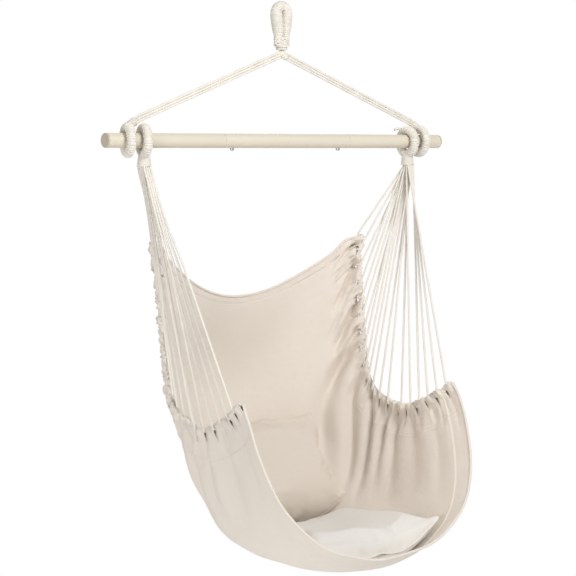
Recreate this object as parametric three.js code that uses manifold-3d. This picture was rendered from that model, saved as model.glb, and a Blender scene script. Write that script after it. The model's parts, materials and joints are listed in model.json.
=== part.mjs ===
// Hammock chair: a cotton sling with two loose cushions, hung by cords from a three-piece metal
// spreader bar, which hangs by ropes from one wrapped eye. Millimetres, +Z up, the chair faces -Y.
// The origin is the inside of the top of the hanging eye, where a hook bears.

import * as THREE from 'three';
import { mergeVertices } from 'three/addons/utils/BufferGeometryUtils.js';
import Module from 'manifold-3d';

const wasm = await Module();
wasm.setup();

// General clearances
const FIT_GAP = 0.35;
const CUT_OVERRUN = 5;
const MERGE_TOLERANCE = 1e-4;

// Spreader bar, with its axis along X
const BAR_DROP = 300;
const BAR_LENGTH = 1000;
const BAR_RADIUS = 16.5;
const BAR_WALL = 1.4;
const BAR_SIDES = 28;
const SEAM_LEFT = 178;
const SEAM_RIGHT = 200;
const SPIGOT_LENGTH = 48;
const SPIGOT_STEP = 2;
const BORE_TAPER = 2;
const CAP_LIP = 3;
const CAP_PLUG_LENGTH = 18;
const CAP_ROUND = 2.2;

// Sprung snap buttons that lock the bar's sections
const BUTTON_INSET = 28;
const BUTTON_RADIUS = 5;
const BUTTON_PROUD = 6;
const BUTTON_DOME = 2.4;
const BUTTON_LENGTH = 13;
const BUTTON_SIDES = 14;
const LEAF_THICKNESS = 1;
const LEAF_WIDTH = 7;
const LEAF_LENGTH = 30;
const LEAF_BEND_THICKNESS = 3;

// Cores and windings of every eye
const WRAP_STEPS = 8;
const WRAP_SIDES = 4;
const CORE_SIDES = 8;
const LINE_STEP_SHARE = 1e-4;

// Wrapped rope eyes round the bar, each so far in from the end of the bar
const EYE_CORE_RADIUS = 7.4;
const EYE_CORE_STEPS = 20;
const EYE_BORE_RADIUS = 18;
const EYE_WRAP_RADIUS = 1.5;
const EYE_TURNS = 11;
const EYE_WRAP_START_SHARE = 0.09;
const OUTER_EYE_LEFT_INSET = 58;
const OUTER_EYE_RIGHT_INSET = 62;
const INNER_EYE_LEFT_INSET = 102;
const INNER_EYE_RIGHT_INSET = 100;
const OUTER_EYE_LEFT_YAW = 20;
const OUTER_EYE_RIGHT_YAW = 5;
const INNER_EYE_LEFT_YAW = 28;
const INNER_EYE_RIGHT_YAW = 5;

// Collars that gather the cords below or above an eye
const SEAT_COLLAR_TOP_RADIUS = 14;
const SEAT_COLLAR_END_RADIUS = 17;
const SEAT_COLLAR_LENGTH = 27;
const ROPE_COLLAR_RADIUS = 10;
const ROPE_COLLAR_LENGTH = 22;
const ROPE_COLLAR_LEAN = 58;
const COLLAR_RISE = 8;
const COLLAR_WRAP = 4;
const COLLAR_SIDES = 16;
const GROOVE_STEPS = 24;

// Hanging eye, neck and knot
const LOOP_CORE_RADIUS = 9;
const LOOP_CORE_STEPS = 26;
const LOOP_WRAP_RADIUS = 1.2;
const LOOP_TOP_RADIUS = 15.8;
const LOOP_END_RADIUS = 12.8;
const LOOP_HEIGHT = 82;
const LOOP_TURNS = 15;
const LOOP_WRAP_START_SHARE = 0.125;
const NECK_RADIUS = 17;
const NECK_END_RADIUS = 15;
const NECK_LENGTH = 14;
const BAND_RADIUS = 14;
const BAND_HEIGHT = 5;
const KNOT_RADIUS = 9.2;
const KNOT_SIDES = 14;
const KNOT_RINGS = 10;

// Suspension ropes from the knot to the outer eyes
const ROPES_PER_SIDE = 3;
const ROPE_RADIUS = 2.75;
const ROPE_PITCH = 5.9;
const ROPE_LEAD = 11;
const ROPE_BEND_SHARE = 0.2;
const ROPE_FLAT_SHARE = 0.6;
const ROPE_SIDES = 8;
const ROPE_STEPS = 9;

// Seat cords from the inner eyes to the sling
const CORD_RADIUS = 2.3;
const CORD_SIDES = 5;
const CORD_PITCH = 5.7;
const CORD_START = 4;
const CORD_GAP = 1.8;
const CORD_BACK_GAP = 0.7;
const CORD_TURN_SHARE = 0.78;
const EAR_CORD_START = 8;
const EAR_END_SHARE = 0.98;
const CORD_LOOPS = 9;
const CORD_COLUMNS = 5;
const CORD_ROWS = 4;

// Sling, measured from the bar's axis
const ARM_HALF = 307;
const CORNER_FLARE = 12;
const EAR_FLARE = 5;
const CORNER_FRONT = 233;
const EAR_BACK = 83;
const ARM_DROP = 636;
const EAR_DROP = 232;
const SEAT_FRONT = 369;
const SEAT_BACK = 212;
const SEAT_DROP = 974;
const TOP_DROP = 371;
const FABRIC_THICKNESS = 2.5;
const HEM_ROPE_RADIUS = 4;
const HEM_ROPE_SIDES = 6;
const SLIT_WIDTH = 11;
const SLIT_DEPTH = 13.4;
const HEM_END = 9;
const HEM_GAP = 1;
const PIPING_RADIUS = 4.5;
const PIPING_GAP = 0.5;
const PIPING_SIDES = 6;
const FOLD_DEPTH = 8;
const FOLD_COUNT = 6;
const SLING_STEPS_ACROSS = 13;
const SLING_STEP_SHARE = 1e-3;
const HEM_SAMPLES = 240;
const INSET_REACH_SHARE = 0.5;
const INSET_HALVINGS = 24;

// Places along the hem and the middle line, front to back, as shares
const KNOT_SHARES = [0, 0.22, 0.45, 0.62, 0.82, 1];
const HEM_BACK_SHARES = [0, 0.266, 0.509, 0.81, 0.915, 1];
const HEM_RISE_SHARES = [0.161, 0.042, 0, 0.084, 0.349, 1];
const MIDDLE_BACK_SHARES = [0, 0.203, 0.67, 0.793, 1, 0.931];
const MIDDLE_RISE_SHARES = [0.08, 0, 0.022, 0.177, 0.62, 1];
const SHAPE_KNOT_SHARES = [0, 0.3, 0.6, 0.82, 1];
const BULGE_SHARES = [0.133, 0.159, 0.062, 0.087, 0];
const DROP_POWER_SHARES = [0.77, 0.685, 0.829, 0.92, 1];
const REACH_POWER_SHARES = [0.561, 0.583, 1.057, 1.03, 1];
const ARM_SLITS = 10;
const ARM_END_SHARE = 0.5;

// Main folds hang from the gathered hem and die out towards the seat, row by row
const FOLD_ROW_SHARES = [0, 0, 1, 1, 0.55, 0.15];

// Loose cushions
const CUSHION_EDGE = 6;
const CUSHION_DRAW_SHARE = 0.06;
const CUSHION_STEPS = 12;
const CUSHION_GAP = 0.8;
const SEAT_CUSHION_THICKNESS = 84;
const SEAT_CUSHION_SEAM = 10;
const SEAT_CUSHION_ANGLE = 88;
const SEAT_CUSHION_SHARES = {
  frontShare: 0.085,
  backShare: 0.45,
  middleShare: 0.03,
  halfShare: 0.4,
};
const BACK_CUSHION_THICKNESS = 108;
const BACK_CUSHION_SEAM = 38;
const BACK_CUSHION_ANGLE = 42;
const BACK_CUSHION_SHARES = {
  frontShare: 0.495,
  backShare: 0.735,
  middleShare: -0.03,
  halfShare: 0.52,
};

// Finishes
const cotton = { color: 0xf4eee2, roughness: 0.95, metalness: 0 };
const canvas = { color: 0xe6dccb, roughness: 0.95, metalness: 0 };
const painted = { color: 0xe4dac4, roughness: 0.5, metalness: 0.1 };
const plastic = { color: 0xbcae9a, roughness: 0.6, metalness: 0 };
const steel = { color: 0x9a9a98, roughness: 0.35, metalness: 1 };

const chair = new THREE.Group();
const hung = new THREE.Group();
hung.position.z = -BAR_DROP;
chair.add(hung);

const UP = new THREE.Vector3(0, 0, 1);
const ALONG = new THREE.Vector3(1, 0, 0);

function vec(x, y, z) {
  return new THREE.Vector3(x, y, z);
}

function add(name, geometry, finish) {
  const mesh = new THREE.Mesh(geometry, new THREE.MeshStandardMaterial(finish));
  mesh.name = name;
  hung.add(mesh);
}

function lerp(from, to, share) {
  return from + (to - from) * share;
}

// A cubic through the knots, whose slope at a knot is that of the chord between its neighbours
function smooth(knots, values, at) {
  const last = knots.length - 1;
  const slope = (i) => {
    const low = Math.max(i - 1, 0);
    const high = Math.min(i + 1, last);
    return (values[high] - values[low]) / (knots[high] - knots[low]);
  };
  let i = 0;
  while (i < last - 1 && at > knots[i + 1]) i += 1;
  const span = knots[i + 1] - knots[i];
  const t = (at - knots[i]) / span;
  const rest = 1 - t;
  return values[i] * (1 + 2 * t) * rest * rest + slope(i) * span * t * rest * rest
    + values[i + 1] * t * t * (3 - 2 * t) - slope(i + 1) * span * t * t * rest;
}

// Closed bodies from rings of points: each ring has the same number of points
function skin(rings, closed) {
  const sides = rings[0].length;
  const position = [];
  const index = [];
  rings.forEach((ring) => ring.forEach((p) => position.push(p.x, p.y, p.z)));
  const spans = closed ? rings.length : rings.length - 1;
  for (let i = 0; i < spans; i += 1) {
    const near = i * sides;
    const far = ((i + 1) % rings.length) * sides;
    for (let k = 0; k < sides; k += 1) {
      const next = (k + 1) % sides;
      index.push(near + k, near + next, far + next, near + k, far + next, far + k);
    }
  }
  if (!closed) {
    const end = (rings.length - 1) * sides;
    for (let k = 1; k < sides - 1; k += 1) {
      index.push(0, k + 1, k, end, end + k, end + k + 1);
    }
  }
  return indexed(position, index);
}

function indexed(position, index) {
  const geometry = new THREE.BufferGeometry();
  geometry.setAttribute('position', new THREE.Float32BufferAttribute(position, 3));
  geometry.setIndex(index);
  return geometry;
}

// Rings square to a route, turned as little as possible from one to the next
function tube(points, radius, sides, closed = false) {
  const count = points.length;
  const tangentAt = (i) => {
    const before = closed ? (i - 1 + count) % count : Math.max(i - 1, 0);
    const after = closed ? (i + 1) % count : Math.min(i + 1, count - 1);
    return points[after].clone().sub(points[before]).normalize();
  };
  const first = tangentAt(0);
  const side = Math.abs(first.z) < Math.SQRT1_2 ? UP : ALONG;
  let normal = side.clone().addScaledVector(first, -side.dot(first)).normalize();
  const rings = points.map((p, i) => {
    const tangent = tangentAt(i);
    normal = normal.clone().addScaledVector(tangent, -normal.dot(tangent)).normalize();
    const across = tangent.clone().cross(normal);
    return Array.from({ length: sides }, (_, k) => {
      const angle = (2 * Math.PI * k) / sides;
      return p.clone()
        .addScaledVector(normal, radius * Math.cos(angle))
        .addScaledVector(across, radius * Math.sin(angle));
    });
  });
  return skin(rings, closed);
}

// Solids for cutting and joining
function solid(geometry) {
  const bare = geometry.index ? geometry.clone() : geometry;
  bare.deleteAttribute('normal');
  bare.deleteAttribute('uv');
  const merged = mergeVertices(bare, MERGE_TOLERANCE);
  return new wasm.Manifold(new wasm.Mesh({
    numProp: 3,
    vertProperties: new Float32Array(merged.attributes.position.array),
    triVerts: new Uint32Array(merged.index.array),
  }));
}

function fromSolid(body) {
  const mesh = body.getMesh();
  return indexed(Array.from(mesh.vertProperties), Array.from(mesh.triVerts));
}

// A round piece turned from an outline of [place along the axis, radius] points
function turned(outline, sides, axis) {
  const profile = outline.map(([along, radius]) => new THREE.Vector2(radius, along));
  const geometry = new THREE.LatheGeometry(profile, sides);
  const turn = new THREE.Quaternion().setFromUnitVectors(vec(0, 1, 0), axis.clone().normalize());
  return geometry.applyQuaternion(turn);
}

// Bar: a middle tube, and two side tubes whose spigots slide into it
const tubeBore = BAR_RADIUS - BAR_WALL;
const spigotRadius = tubeBore - FIT_GAP;
const spigotBore = spigotRadius - BAR_WALL;
const buttonHoleRadius = BUTTON_RADIUS + FIT_GAP;

function buttonHole(x) {
  const hole = new THREE.CylinderGeometry(buttonHoleRadius, buttonHoleRadius,
    BAR_RADIUS + CUT_OVERRUN, BUTTON_SIDES);
  hole.rotateX(Math.PI / 2);
  hole.translate(x, 0, -(BAR_RADIUS + CUT_OVERRUN) / 2);
  return solid(hole);
}

function sideTube(name, side, seam) {
  const end = BAR_LENGTH / 2;
  const shoulder = seam + FIT_GAP;
  const outline = [
    [end, tubeBore],
    [end, BAR_RADIUS],
    [shoulder, BAR_RADIUS],
    [shoulder, spigotRadius],
    [seam - SPIGOT_LENGTH, spigotRadius],
    [seam - SPIGOT_LENGTH, spigotBore],
    [shoulder + SPIGOT_STEP, spigotBore],
    [shoulder + SPIGOT_STEP + BORE_TAPER, tubeBore],
    [end, tubeBore],
  ].map(([along, radius]) => [side * along, radius]);
  if (side > 0) outline.reverse();
  const body = solid(turned(outline, BAR_SIDES, ALONG));
  add(name, fromSolid(body.subtract(buttonHole(side * (seam - BUTTON_INSET)))), painted);
}

function middleTube() {
  const outline = [
    [-SEAM_LEFT, tubeBore],
    [-SEAM_LEFT, BAR_RADIUS],
    [SEAM_RIGHT, BAR_RADIUS],
    [SEAM_RIGHT, tubeBore],
    [-SEAM_LEFT, tubeBore],
  ];
  const body = solid(turned(outline, BAR_SIDES, ALONG))
    .subtract(buttonHole(BUTTON_INSET - SEAM_LEFT))
    .subtract(buttonHole(SEAM_RIGHT - BUTTON_INSET));
  add('bar_middle_tube', fromSolid(body), painted);
}

function endCap(name, side) {
  const plug = tubeBore - FIT_GAP;
  const face = BAR_LENGTH / 2 + FIT_GAP;
  const outline = [
    [face - CAP_PLUG_LENGTH, 0],
    [face - CAP_PLUG_LENGTH, plug],
    [face, plug],
    [face, BAR_RADIUS],
    [face + CAP_LIP - CAP_ROUND, BAR_RADIUS],
    [face + CAP_LIP, BAR_RADIUS - CAP_ROUND],
    [face + CAP_LIP, 0],
  ].map(([along, radius]) => [side * along, radius]);
  if (side < 0) outline.reverse();
  add(name, turned(outline, BAR_SIDES, ALONG), plastic);
}

function snapButton(name, x) {
  const tip = -(BAR_RADIUS + BUTTON_PROUD);
  const outline = [
    [tip, 0],
    [tip, BUTTON_RADIUS - BUTTON_DOME],
    [tip + BUTTON_DOME, BUTTON_RADIUS],
    [tip + BUTTON_LENGTH, BUTTON_RADIUS],
    [tip + BUTTON_LENGTH, 0],
  ];
  const geometry = turned(outline, BUTTON_SIDES, UP);
  geometry.translate(x, 0, 0);
  add(name, geometry, steel);
}

// A folded leaf spring: one arm on the button's back, the other against the roof of the spigot
function leafSpring(name, x, side) {
  const low = -(BAR_RADIUS + BUTTON_PROUD) + BUTTON_LENGTH + FIT_GAP;
  const roof = Math.sqrt(spigotBore ** 2 - (LEAF_WIDTH / 2) ** 2) - FIT_GAP;
  const bend = (low + roof) / 2;
  const tip = -BUTTON_RADIUS;
  const outline = new THREE.Shape([
    new THREE.Vector2(tip, low),
    new THREE.Vector2(BUTTON_RADIUS, low),
    new THREE.Vector2(LEAF_LENGTH, bend),
    new THREE.Vector2(BUTTON_RADIUS, roof),
    new THREE.Vector2(tip, roof),
    new THREE.Vector2(tip, roof - LEAF_THICKNESS),
    new THREE.Vector2(BUTTON_RADIUS, roof - LEAF_THICKNESS),
    new THREE.Vector2(LEAF_LENGTH - LEAF_BEND_THICKNESS, bend),
    new THREE.Vector2(BUTTON_RADIUS, low + LEAF_THICKNESS),
    new THREE.Vector2(tip, low + LEAF_THICKNESS),
  ]);
  const geometry = new THREE.ExtrudeGeometry(outline, { depth: LEAF_WIDTH, bevelEnabled: false });
  geometry.translate(0, 0, -LEAF_WIDTH / 2);
  geometry.rotateX(Math.PI / 2);
  if (side < 0) geometry.rotateZ(Math.PI);
  geometry.translate(x, 0, 0);
  add(name, geometry, steel);
}

// A closed centre line that turns about `normal`: share 0 is the throat, where the cords leave
function eyeLine(centre, across, up, halfWidth, halfHeight) {
  const point = (share) => {
    const angle = 2 * Math.PI * share;
    return centre.clone()
      .addScaledVector(across, halfWidth * Math.sin(angle))
      .addScaledVector(up, -halfHeight * Math.cos(angle));
  };
  return { point, normal: across.clone().cross(up) };
}

// The belt round two circles of unlike size, one over the other: share 0 is its lowest point
function beltLine(top, topRadius, endRadius, height) {
  const between = height - topRadius - endRadius;
  const lean = Math.asin((topRadius - endRadius) / between);
  const endCentre = top - height + endRadius;
  const topCentre = top - topRadius;
  const endArc = endRadius * (Math.PI / 2 - lean);
  const leg = Math.sqrt(between ** 2 - (topRadius - endRadius) ** 2);
  const topArc = topRadius * (Math.PI / 2 + lean);
  const half = endArc + leg + topArc;
  const halfPoint = (length) => {
    if (length < endArc) {
      const angle = length / endRadius;
      return [endRadius * Math.sin(angle), endCentre - endRadius * Math.cos(angle)];
    }
    const angle = Math.PI / 2 - lean;
    if (length < endArc + leg) {
      const along = length - endArc;
      return [endRadius * Math.sin(angle) + along * Math.sin(lean),
        endCentre - endRadius * Math.cos(angle) + along * Math.cos(lean)];
    }
    const turn = angle + (length - endArc - leg) / topRadius;
    return [topRadius * Math.sin(turn), topCentre - topRadius * Math.cos(turn)];
  };
  const point = (share) => {
    const length = 2 * half * share;
    const mirrored = length > half;
    const [x, z] = halfPoint(mirrored ? 2 * half - length : length);
    return vec(mirrored ? -x : x, 0, z);
  };
  return { point, normal: vec(0, -1, 0) };
}

// A place on a closed centre line, and the direction there away from the eye's middle
function lineFrame(line, share) {
  const at = line.point(share);
  const tangent = line.point(share + LINE_STEP_SHARE).sub(line.point(share - LINE_STEP_SHARE));
  const outward = tangent.cross(line.normal).normalize();
  return { at, outward };
}

function core(name, line, radius, steps) {
  const points = Array.from({ length: steps }, (_, i) => line.point(i / steps));
  add(name, tube(points, radius, CORE_SIDES, true), cotton);
}

// One unbroken cord wound round a centre line, from beside the throat to beside the throat again
function winding(name, line, coreRadius, wrapRadius, turns, startShare) {
  const reach = coreRadius / Math.cos(Math.PI / WRAP_STEPS) + wrapRadius;
  const steps = turns * WRAP_STEPS;
  const points = Array.from({ length: steps + 1 }, (_, i) => {
    const share = lerp(startShare, 1 - startShare, i / steps);
    const { at, outward } = lineFrame(line, share);
    const angle = (2 * Math.PI * i) / WRAP_STEPS;
    return at.addScaledVector(outward, reach * Math.cos(angle))
      .addScaledVector(line.normal, reach * Math.sin(angle));
  });
  let least = Infinity;
  points.forEach((p, i) => {
    for (let j = i + WRAP_STEPS - 2; j < points.length; j += 1) {
      least = Math.min(least, p.distanceTo(points[j]) - 2 * wrapRadius);
    }
  });
  console.log(`${name}: least gap between turns ${least.toFixed(2)} mm`);
  add(name, tube(points, wrapRadius, WRAP_SIDES), cotton);
}

// The whole radius of a wound bundle
const eyeBundle = EYE_CORE_RADIUS / Math.cos(Math.PI / WRAP_STEPS) + 2 * EYE_WRAP_RADIUS;
const loopBundle = LOOP_CORE_RADIUS / Math.cos(Math.PI / WRAP_STEPS) + 2 * LOOP_WRAP_RADIUS;

// A sleeve over the throat of an eye, hollowed to sit on the eye's core
function collar(name, line, coreRadius, direction, startRadius, endRadius, length) {
  const throat = line.point(0);
  const rise = startRadius > coreRadius + COLLAR_WRAP ? COLLAR_RISE : 0;
  const outline = [
    [-rise, 0],
    [-rise, startRadius],
    [length, endRadius],
    [length, 0],
  ];
  const shape = turned(outline, COLLAR_SIDES, direction);
  shape.translate(throat.x, throat.y, throat.z);
  const points = Array.from({ length: GROOVE_STEPS }, (_, i) => line.point(i / GROOVE_STEPS));
  const groove = tube(points, coreRadius + FIT_GAP, COLLAR_SIDES, true);
  add(name, fromSolid(solid(shape).subtract(solid(groove))), cotton);
  return throat.clone().addScaledVector(direction, length + FIT_GAP);
}

// Eyes: `rise` is +1 where the cords leave above the bar, and -1 where they leave below it
function wrappedEye(name, x, yaw, rise) {
  const turn = THREE.MathUtils.degToRad(yaw);
  const across = vec(-Math.sin(turn), -Math.cos(turn), 0);
  const up = vec(0, 0, -rise);
  const height = EYE_BORE_RADIUS + eyeBundle;
  const slack = EYE_BORE_RADIUS - BAR_RADIUS - FIT_GAP;
  const line = eyeLine(vec(x, 0, rise * slack), across, up, height / Math.cos(turn), height);
  core(`${name}_core`, line, EYE_CORE_RADIUS, EYE_CORE_STEPS);
  winding(`${name}_wrap`, line, EYE_CORE_RADIUS, EYE_WRAP_RADIUS, EYE_TURNS,
    EYE_WRAP_START_SHARE);
  return line;
}

// Sling surface: u runs from the front edge to the top of the back, s from the left hem to the right
function hemPoint(u, side) {
  const flares = [CORNER_FLARE, 0, 0, 0, 0, EAR_FLARE];
  return vec(side * (ARM_HALF + smooth(KNOT_SHARES, flares, u)),
    lerp(-CORNER_FRONT, EAR_BACK, smooth(KNOT_SHARES, HEM_BACK_SHARES, u)),
    lerp(-ARM_DROP, -EAR_DROP, smooth(KNOT_SHARES, HEM_RISE_SHARES, u)));
}

function slingPoint(u, s) {
  const hem = hemPoint(u, 1);
  const back = lerp(-SEAT_FRONT, SEAT_BACK, smooth(KNOT_SHARES, MIDDLE_BACK_SHARES, u));
  const rise = lerp(-SEAT_DROP, -TOP_DROP, smooth(KNOT_SHARES, MIDDLE_RISE_SHARES, u));
  const bulge = smooth(SHAPE_KNOT_SHARES, BULGE_SHARES, u);
  const dropPower = smooth(SHAPE_KNOT_SHARES, DROP_POWER_SHARES, u);
  const reachPower = smooth(SHAPE_KNOT_SHARES, REACH_POWER_SHARES, u);
  const angle = (s * Math.PI) / 2;
  const hang = Math.max(Math.cos(angle), 0);
  const across = lerp(Math.sin(angle), s, u) * (1 + bulge * hang * hang);
  return vec(hem.x * across,
    hem.y + (back - hem.y) * hang ** reachPower,
    hem.z + (rise - hem.z) * hang ** dropPower);
}

// Unit directions at a place on the sling: along the hem, across it, and out of the seat
function slingFrame(u, s) {
  const step = SLING_STEP_SHARE;
  const along = slingPoint(Math.min(u + step, 1), s).sub(slingPoint(Math.max(u - step, 0), s));
  const across = slingPoint(u, Math.min(s + step, 1)).sub(slingPoint(u, Math.max(s - step, -1)));
  const outward = along.clone().cross(across).normalize();
  return { along: along.normalize(), across: across.normalize(), outward };
}

// The share of the half width, from the left hem, that lies `reach` down the cloth
function hemInset(u, reach) {
  const hem = slingPoint(u, -1);
  let low = 0;
  let high = INSET_REACH_SHARE;
  for (let i = 0; i < INSET_HALVINGS; i += 1) {
    const middle = (low + high) / 2;
    if (slingPoint(u, lerp(-1, 0, middle)).distanceTo(hem) < reach) low = middle;
    else high = middle;
  }
  return (low + high) / 2;
}

// Arc length along the hem, and the u that each length falls at
const hemLengths = [0];
for (let i = 1; i <= HEM_SAMPLES; i += 1) {
  const step = hemPoint(i / HEM_SAMPLES, 1).distanceTo(hemPoint((i - 1) / HEM_SAMPLES, 1));
  hemLengths.push(hemLengths[i - 1] + step);
}
const hemLength = hemLengths[HEM_SAMPLES];

function hemShareAt(length) {
  let i = 1;
  while (i < HEM_SAMPLES && hemLengths[i] < length) i += 1;
  const part = (length - hemLengths[i - 1]) / (hemLengths[i] - hemLengths[i - 1]);
  return (i - 1 + part) / HEM_SAMPLES;
}

// Slits that the seat cords pass through: close together along the arm, wider up the back
const slitCount = 2 * CORD_LOOPS;
const armLength = hemLength * ARM_END_SHARE;
const slitPlaces = Array.from({ length: slitCount }, (_, i) => {
  if (i < ARM_SLITS) return HEM_END + ((armLength - HEM_END) * (i + 0.5)) / ARM_SLITS;
  const backSlits = slitCount - ARM_SLITS;
  return armLength + ((hemLength - HEM_END - armLength) * (i + 0.5 - ARM_SLITS)) / backSlits;
});

const slitEdges = slitPlaces.flatMap((place) => [place - SLIT_WIDTH / 2, place + SLIT_WIDTH / 2]);
const uLines = [0, ...slitEdges.map(hemShareAt), 1];

function slingGrid() {
  return uLines.map((u) => {
    const edge = hemInset(u, HEM_ROPE_RADIUS + FABRIC_THICKNESS / 2 + HEM_GAP);
    const band = hemInset(u, SLIT_DEPTH);
    const places = [-1 + edge];
    for (let j = 0; j <= SLING_STEPS_ACROSS; j += 1) {
      places.push(lerp(band - 1, 1 - band, j / SLING_STEPS_ACROSS));
    }
    places.push(1 - edge);
    return places.map((s, j) => {
      const row = Math.min(j, places.length - 1 - j);
      const { across, outward } = slingFrame(u, s);
      const depth = FOLD_DEPTH * (FOLD_ROW_SHARES[row] ?? 0) * Math.sin(2 * Math.PI * FOLD_COUNT * u);
      const at = slingPoint(u, s).addScaledVector(outward, depth);
      return { at, past: across.cross(outward).normalize(), outward };
    });
  });
}

// A thin closed sheet whose hem strip is left out at every slit
function sling(grid) {
  const columns = grid[0].length;
  const position = [];
  grid.forEach((line) => line.forEach(({ at, outward }) => {
    const inner = at.clone().addScaledVector(outward, -FABRIC_THICKNESS / 2);
    const outer = at.clone().addScaledVector(outward, FABRIC_THICKNESS / 2);
    position.push(inner.x, inner.y, inner.z, outer.x, outer.y, outer.z);
  }));
  const inner = (i, j) => 2 * (i * columns + j);
  const outer = (i, j) => inner(i, j) + 1;
  const inSlit = (i) => i % 2 === 1;
  const present = (i, j) => i >= 0 && i < grid.length - 1 && j >= 0 && j < columns - 1
    && !(inSlit(i) && (j === 0 || j === columns - 2));
  const index = [];
  const quad = (a, b, c, d) => index.push(a, b, c, a, c, d);
  for (let i = 0; i < grid.length - 1; i += 1) {
    for (let j = 0; j < columns - 1; j += 1) {
      if (present(i, j)) {
        quad(outer(i, j), outer(i + 1, j), outer(i + 1, j + 1), outer(i, j + 1));
        quad(inner(i, j), inner(i, j + 1), inner(i + 1, j + 1), inner(i + 1, j));
        if (!present(i - 1, j)) quad(inner(i, j), outer(i, j), outer(i, j + 1), inner(i, j + 1));
        if (!present(i + 1, j)) {
          quad(inner(i + 1, j), inner(i + 1, j + 1), outer(i + 1, j + 1), outer(i + 1, j));
        }
        if (!present(i, j - 1)) quad(inner(i, j), inner(i + 1, j), outer(i + 1, j), outer(i, j));
        if (!present(i, j + 1)) {
          quad(inner(i, j + 1), outer(i, j + 1), outer(i + 1, j + 1), inner(i + 1, j + 1));
        }
      }
    }
  }
  add('sling_fabric', indexed(position, index), canvas);
}

function hemRope(name, side) {
  const points = uLines.map((u) => hemPoint(u, side));
  add(name, tube(points, HEM_ROPE_RADIUS, HEM_ROPE_SIDES), cotton);
}

// Piping along the front or top edge of the cloth, just past the edge
function piping(name, line, way) {
  const points = line.slice(1, -1).map(({ at, past }) => (
    at.clone().addScaledVector(past, way * (PIPING_RADIUS + PIPING_GAP))));
  add(name, tube(points, PIPING_RADIUS, PIPING_SIDES), canvas);
}

// Places of a collar's cords, front ones first, and the ones to the highest slits innermost
function collarPlace(face, side, index) {
  const column = Math.floor(index / CORD_ROWS);
  const place = index % CORD_ROWS;
  const row = column < CORD_COLUMNS / 2 - 1 ? place : CORD_ROWS - 1 - place;
  return face.clone().add(vec(side * (row - (CORD_ROWS - 1) / 2) * CORD_PITCH,
    (column - (CORD_COLUMNS - 1) / 2) * CORD_PITCH, 0));
}

function collarStart(face, side, index) {
  const start = collarPlace(face, side, index);
  return [start, start.clone().add(vec(0, 0, -CORD_START))];
}

// How a seat cord goes through one slit: out of the slit on the side that its collar is on
function slitFrame(place, side, face) {
  const u = hemShareAt(place);
  const frame = slingFrame(u, side * (1 - hemInset(u, SLIT_DEPTH)));
  const hem = hemPoint(u, side);
  const down = frame.across.clone().multiplyScalar(-side);
  const towards = face.clone().sub(hem);
  const out = frame.outward.clone().multiplyScalar(Math.sign(towards.dot(frame.outward)));
  return { hem, down, out, along: frame.along };
}

// A cord passes over the hem rope, down through the slit and along behind the cloth
const cordOver = HEM_ROPE_RADIUS + CORD_RADIUS + CORD_GAP;
const cordThrough = (HEM_ROPE_RADIUS + SLIT_DEPTH) / 2;
const cordBehind = FABRIC_THICKNESS / 2 + CORD_RADIUS + CORD_BACK_GAP;

function slitRoute({ hem, down, out, along }, way) {
  const at = (outBy, downBy, alongBy) => hem.clone()
    .addScaledVector(out, outBy)
    .addScaledVector(down, downBy)
    .addScaledVector(along, way * alongBy);
  return [
    at(cordOver, 0, 0),
    at(cordOver * CORD_TURN_SHARE, cordOver * CORD_TURN_SHARE, 0),
    at(0, cordThrough, 0),
    at(-cordBehind, cordThrough, SLIT_WIDTH / 4),
  ];
}

function seatCordLoop(name, side, face, loop) {
  const first = 2 * loop;
  const down = slitRoute(slitFrame(slitPlaces[first], side, face), 1);
  const back = slitRoute(slitFrame(slitPlaces[first + 1], side, face), -1).reverse();
  const points = [
    ...collarStart(face, side, first),
    ...down,
    ...back,
    ...collarStart(face, side, first + 1).reverse(),
  ];
  add(name, tube(points, CORD_RADIUS, CORD_SIDES), cotton);
}

function earCord(name, side, face) {
  const end = hemPoint(1, side);
  const past = end.clone().sub(hemPoint(EAR_END_SHARE, side)).normalize();
  const points = [
    end.clone().addScaledVector(past, FIT_GAP),
    end.clone().addScaledVector(past, EAR_CORD_START),
    ...collarStart(face, side, slitCount).reverse(),
  ];
  add(name, tube(points, CORD_RADIUS, CORD_SIDES), cotton);
}

// Ropes side by side from the knot to a collar on an outer eye
function suspensionRopes(name, side, knot, face, direction) {
  const run = face.clone().sub(knot).normalize();
  const above = vec(-run.z * side, 0, run.x * side);
  const faceAbove = vec(direction.z * side, 0, -direction.x * side);
  for (let i = 0; i < ROPES_PER_SIDE; i += 1) {
    const offset = (i - (ROPES_PER_SIDE - 1) / 2) * ROPE_PITCH;
    const inset = Math.max(Math.abs(offset) - ROPE_RADIUS, 0);
    const clear = Math.sqrt((KNOT_RADIUS + FIT_GAP) ** 2 - inset ** 2);
    const near = face.clone().addScaledVector(faceAbove, offset);
    const lead = near.clone().addScaledVector(direction, ROPE_LEAD);
    const far = knot.clone().addScaledVector(run, clear).addScaledVector(above, offset);
    const bent = new THREE.CatmullRomCurve3([
      near,
      lead,
      lead.clone().lerp(far, ROPE_BEND_SHARE),
      lead.clone().lerp(far, ROPE_FLAT_SHARE),
      far,
    ]);
    add(`${name}_${i + 1}`, tube(bent.getPoints(ROPE_STEPS), ROPE_RADIUS, ROPE_SIDES), cotton);
  }
}

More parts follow.
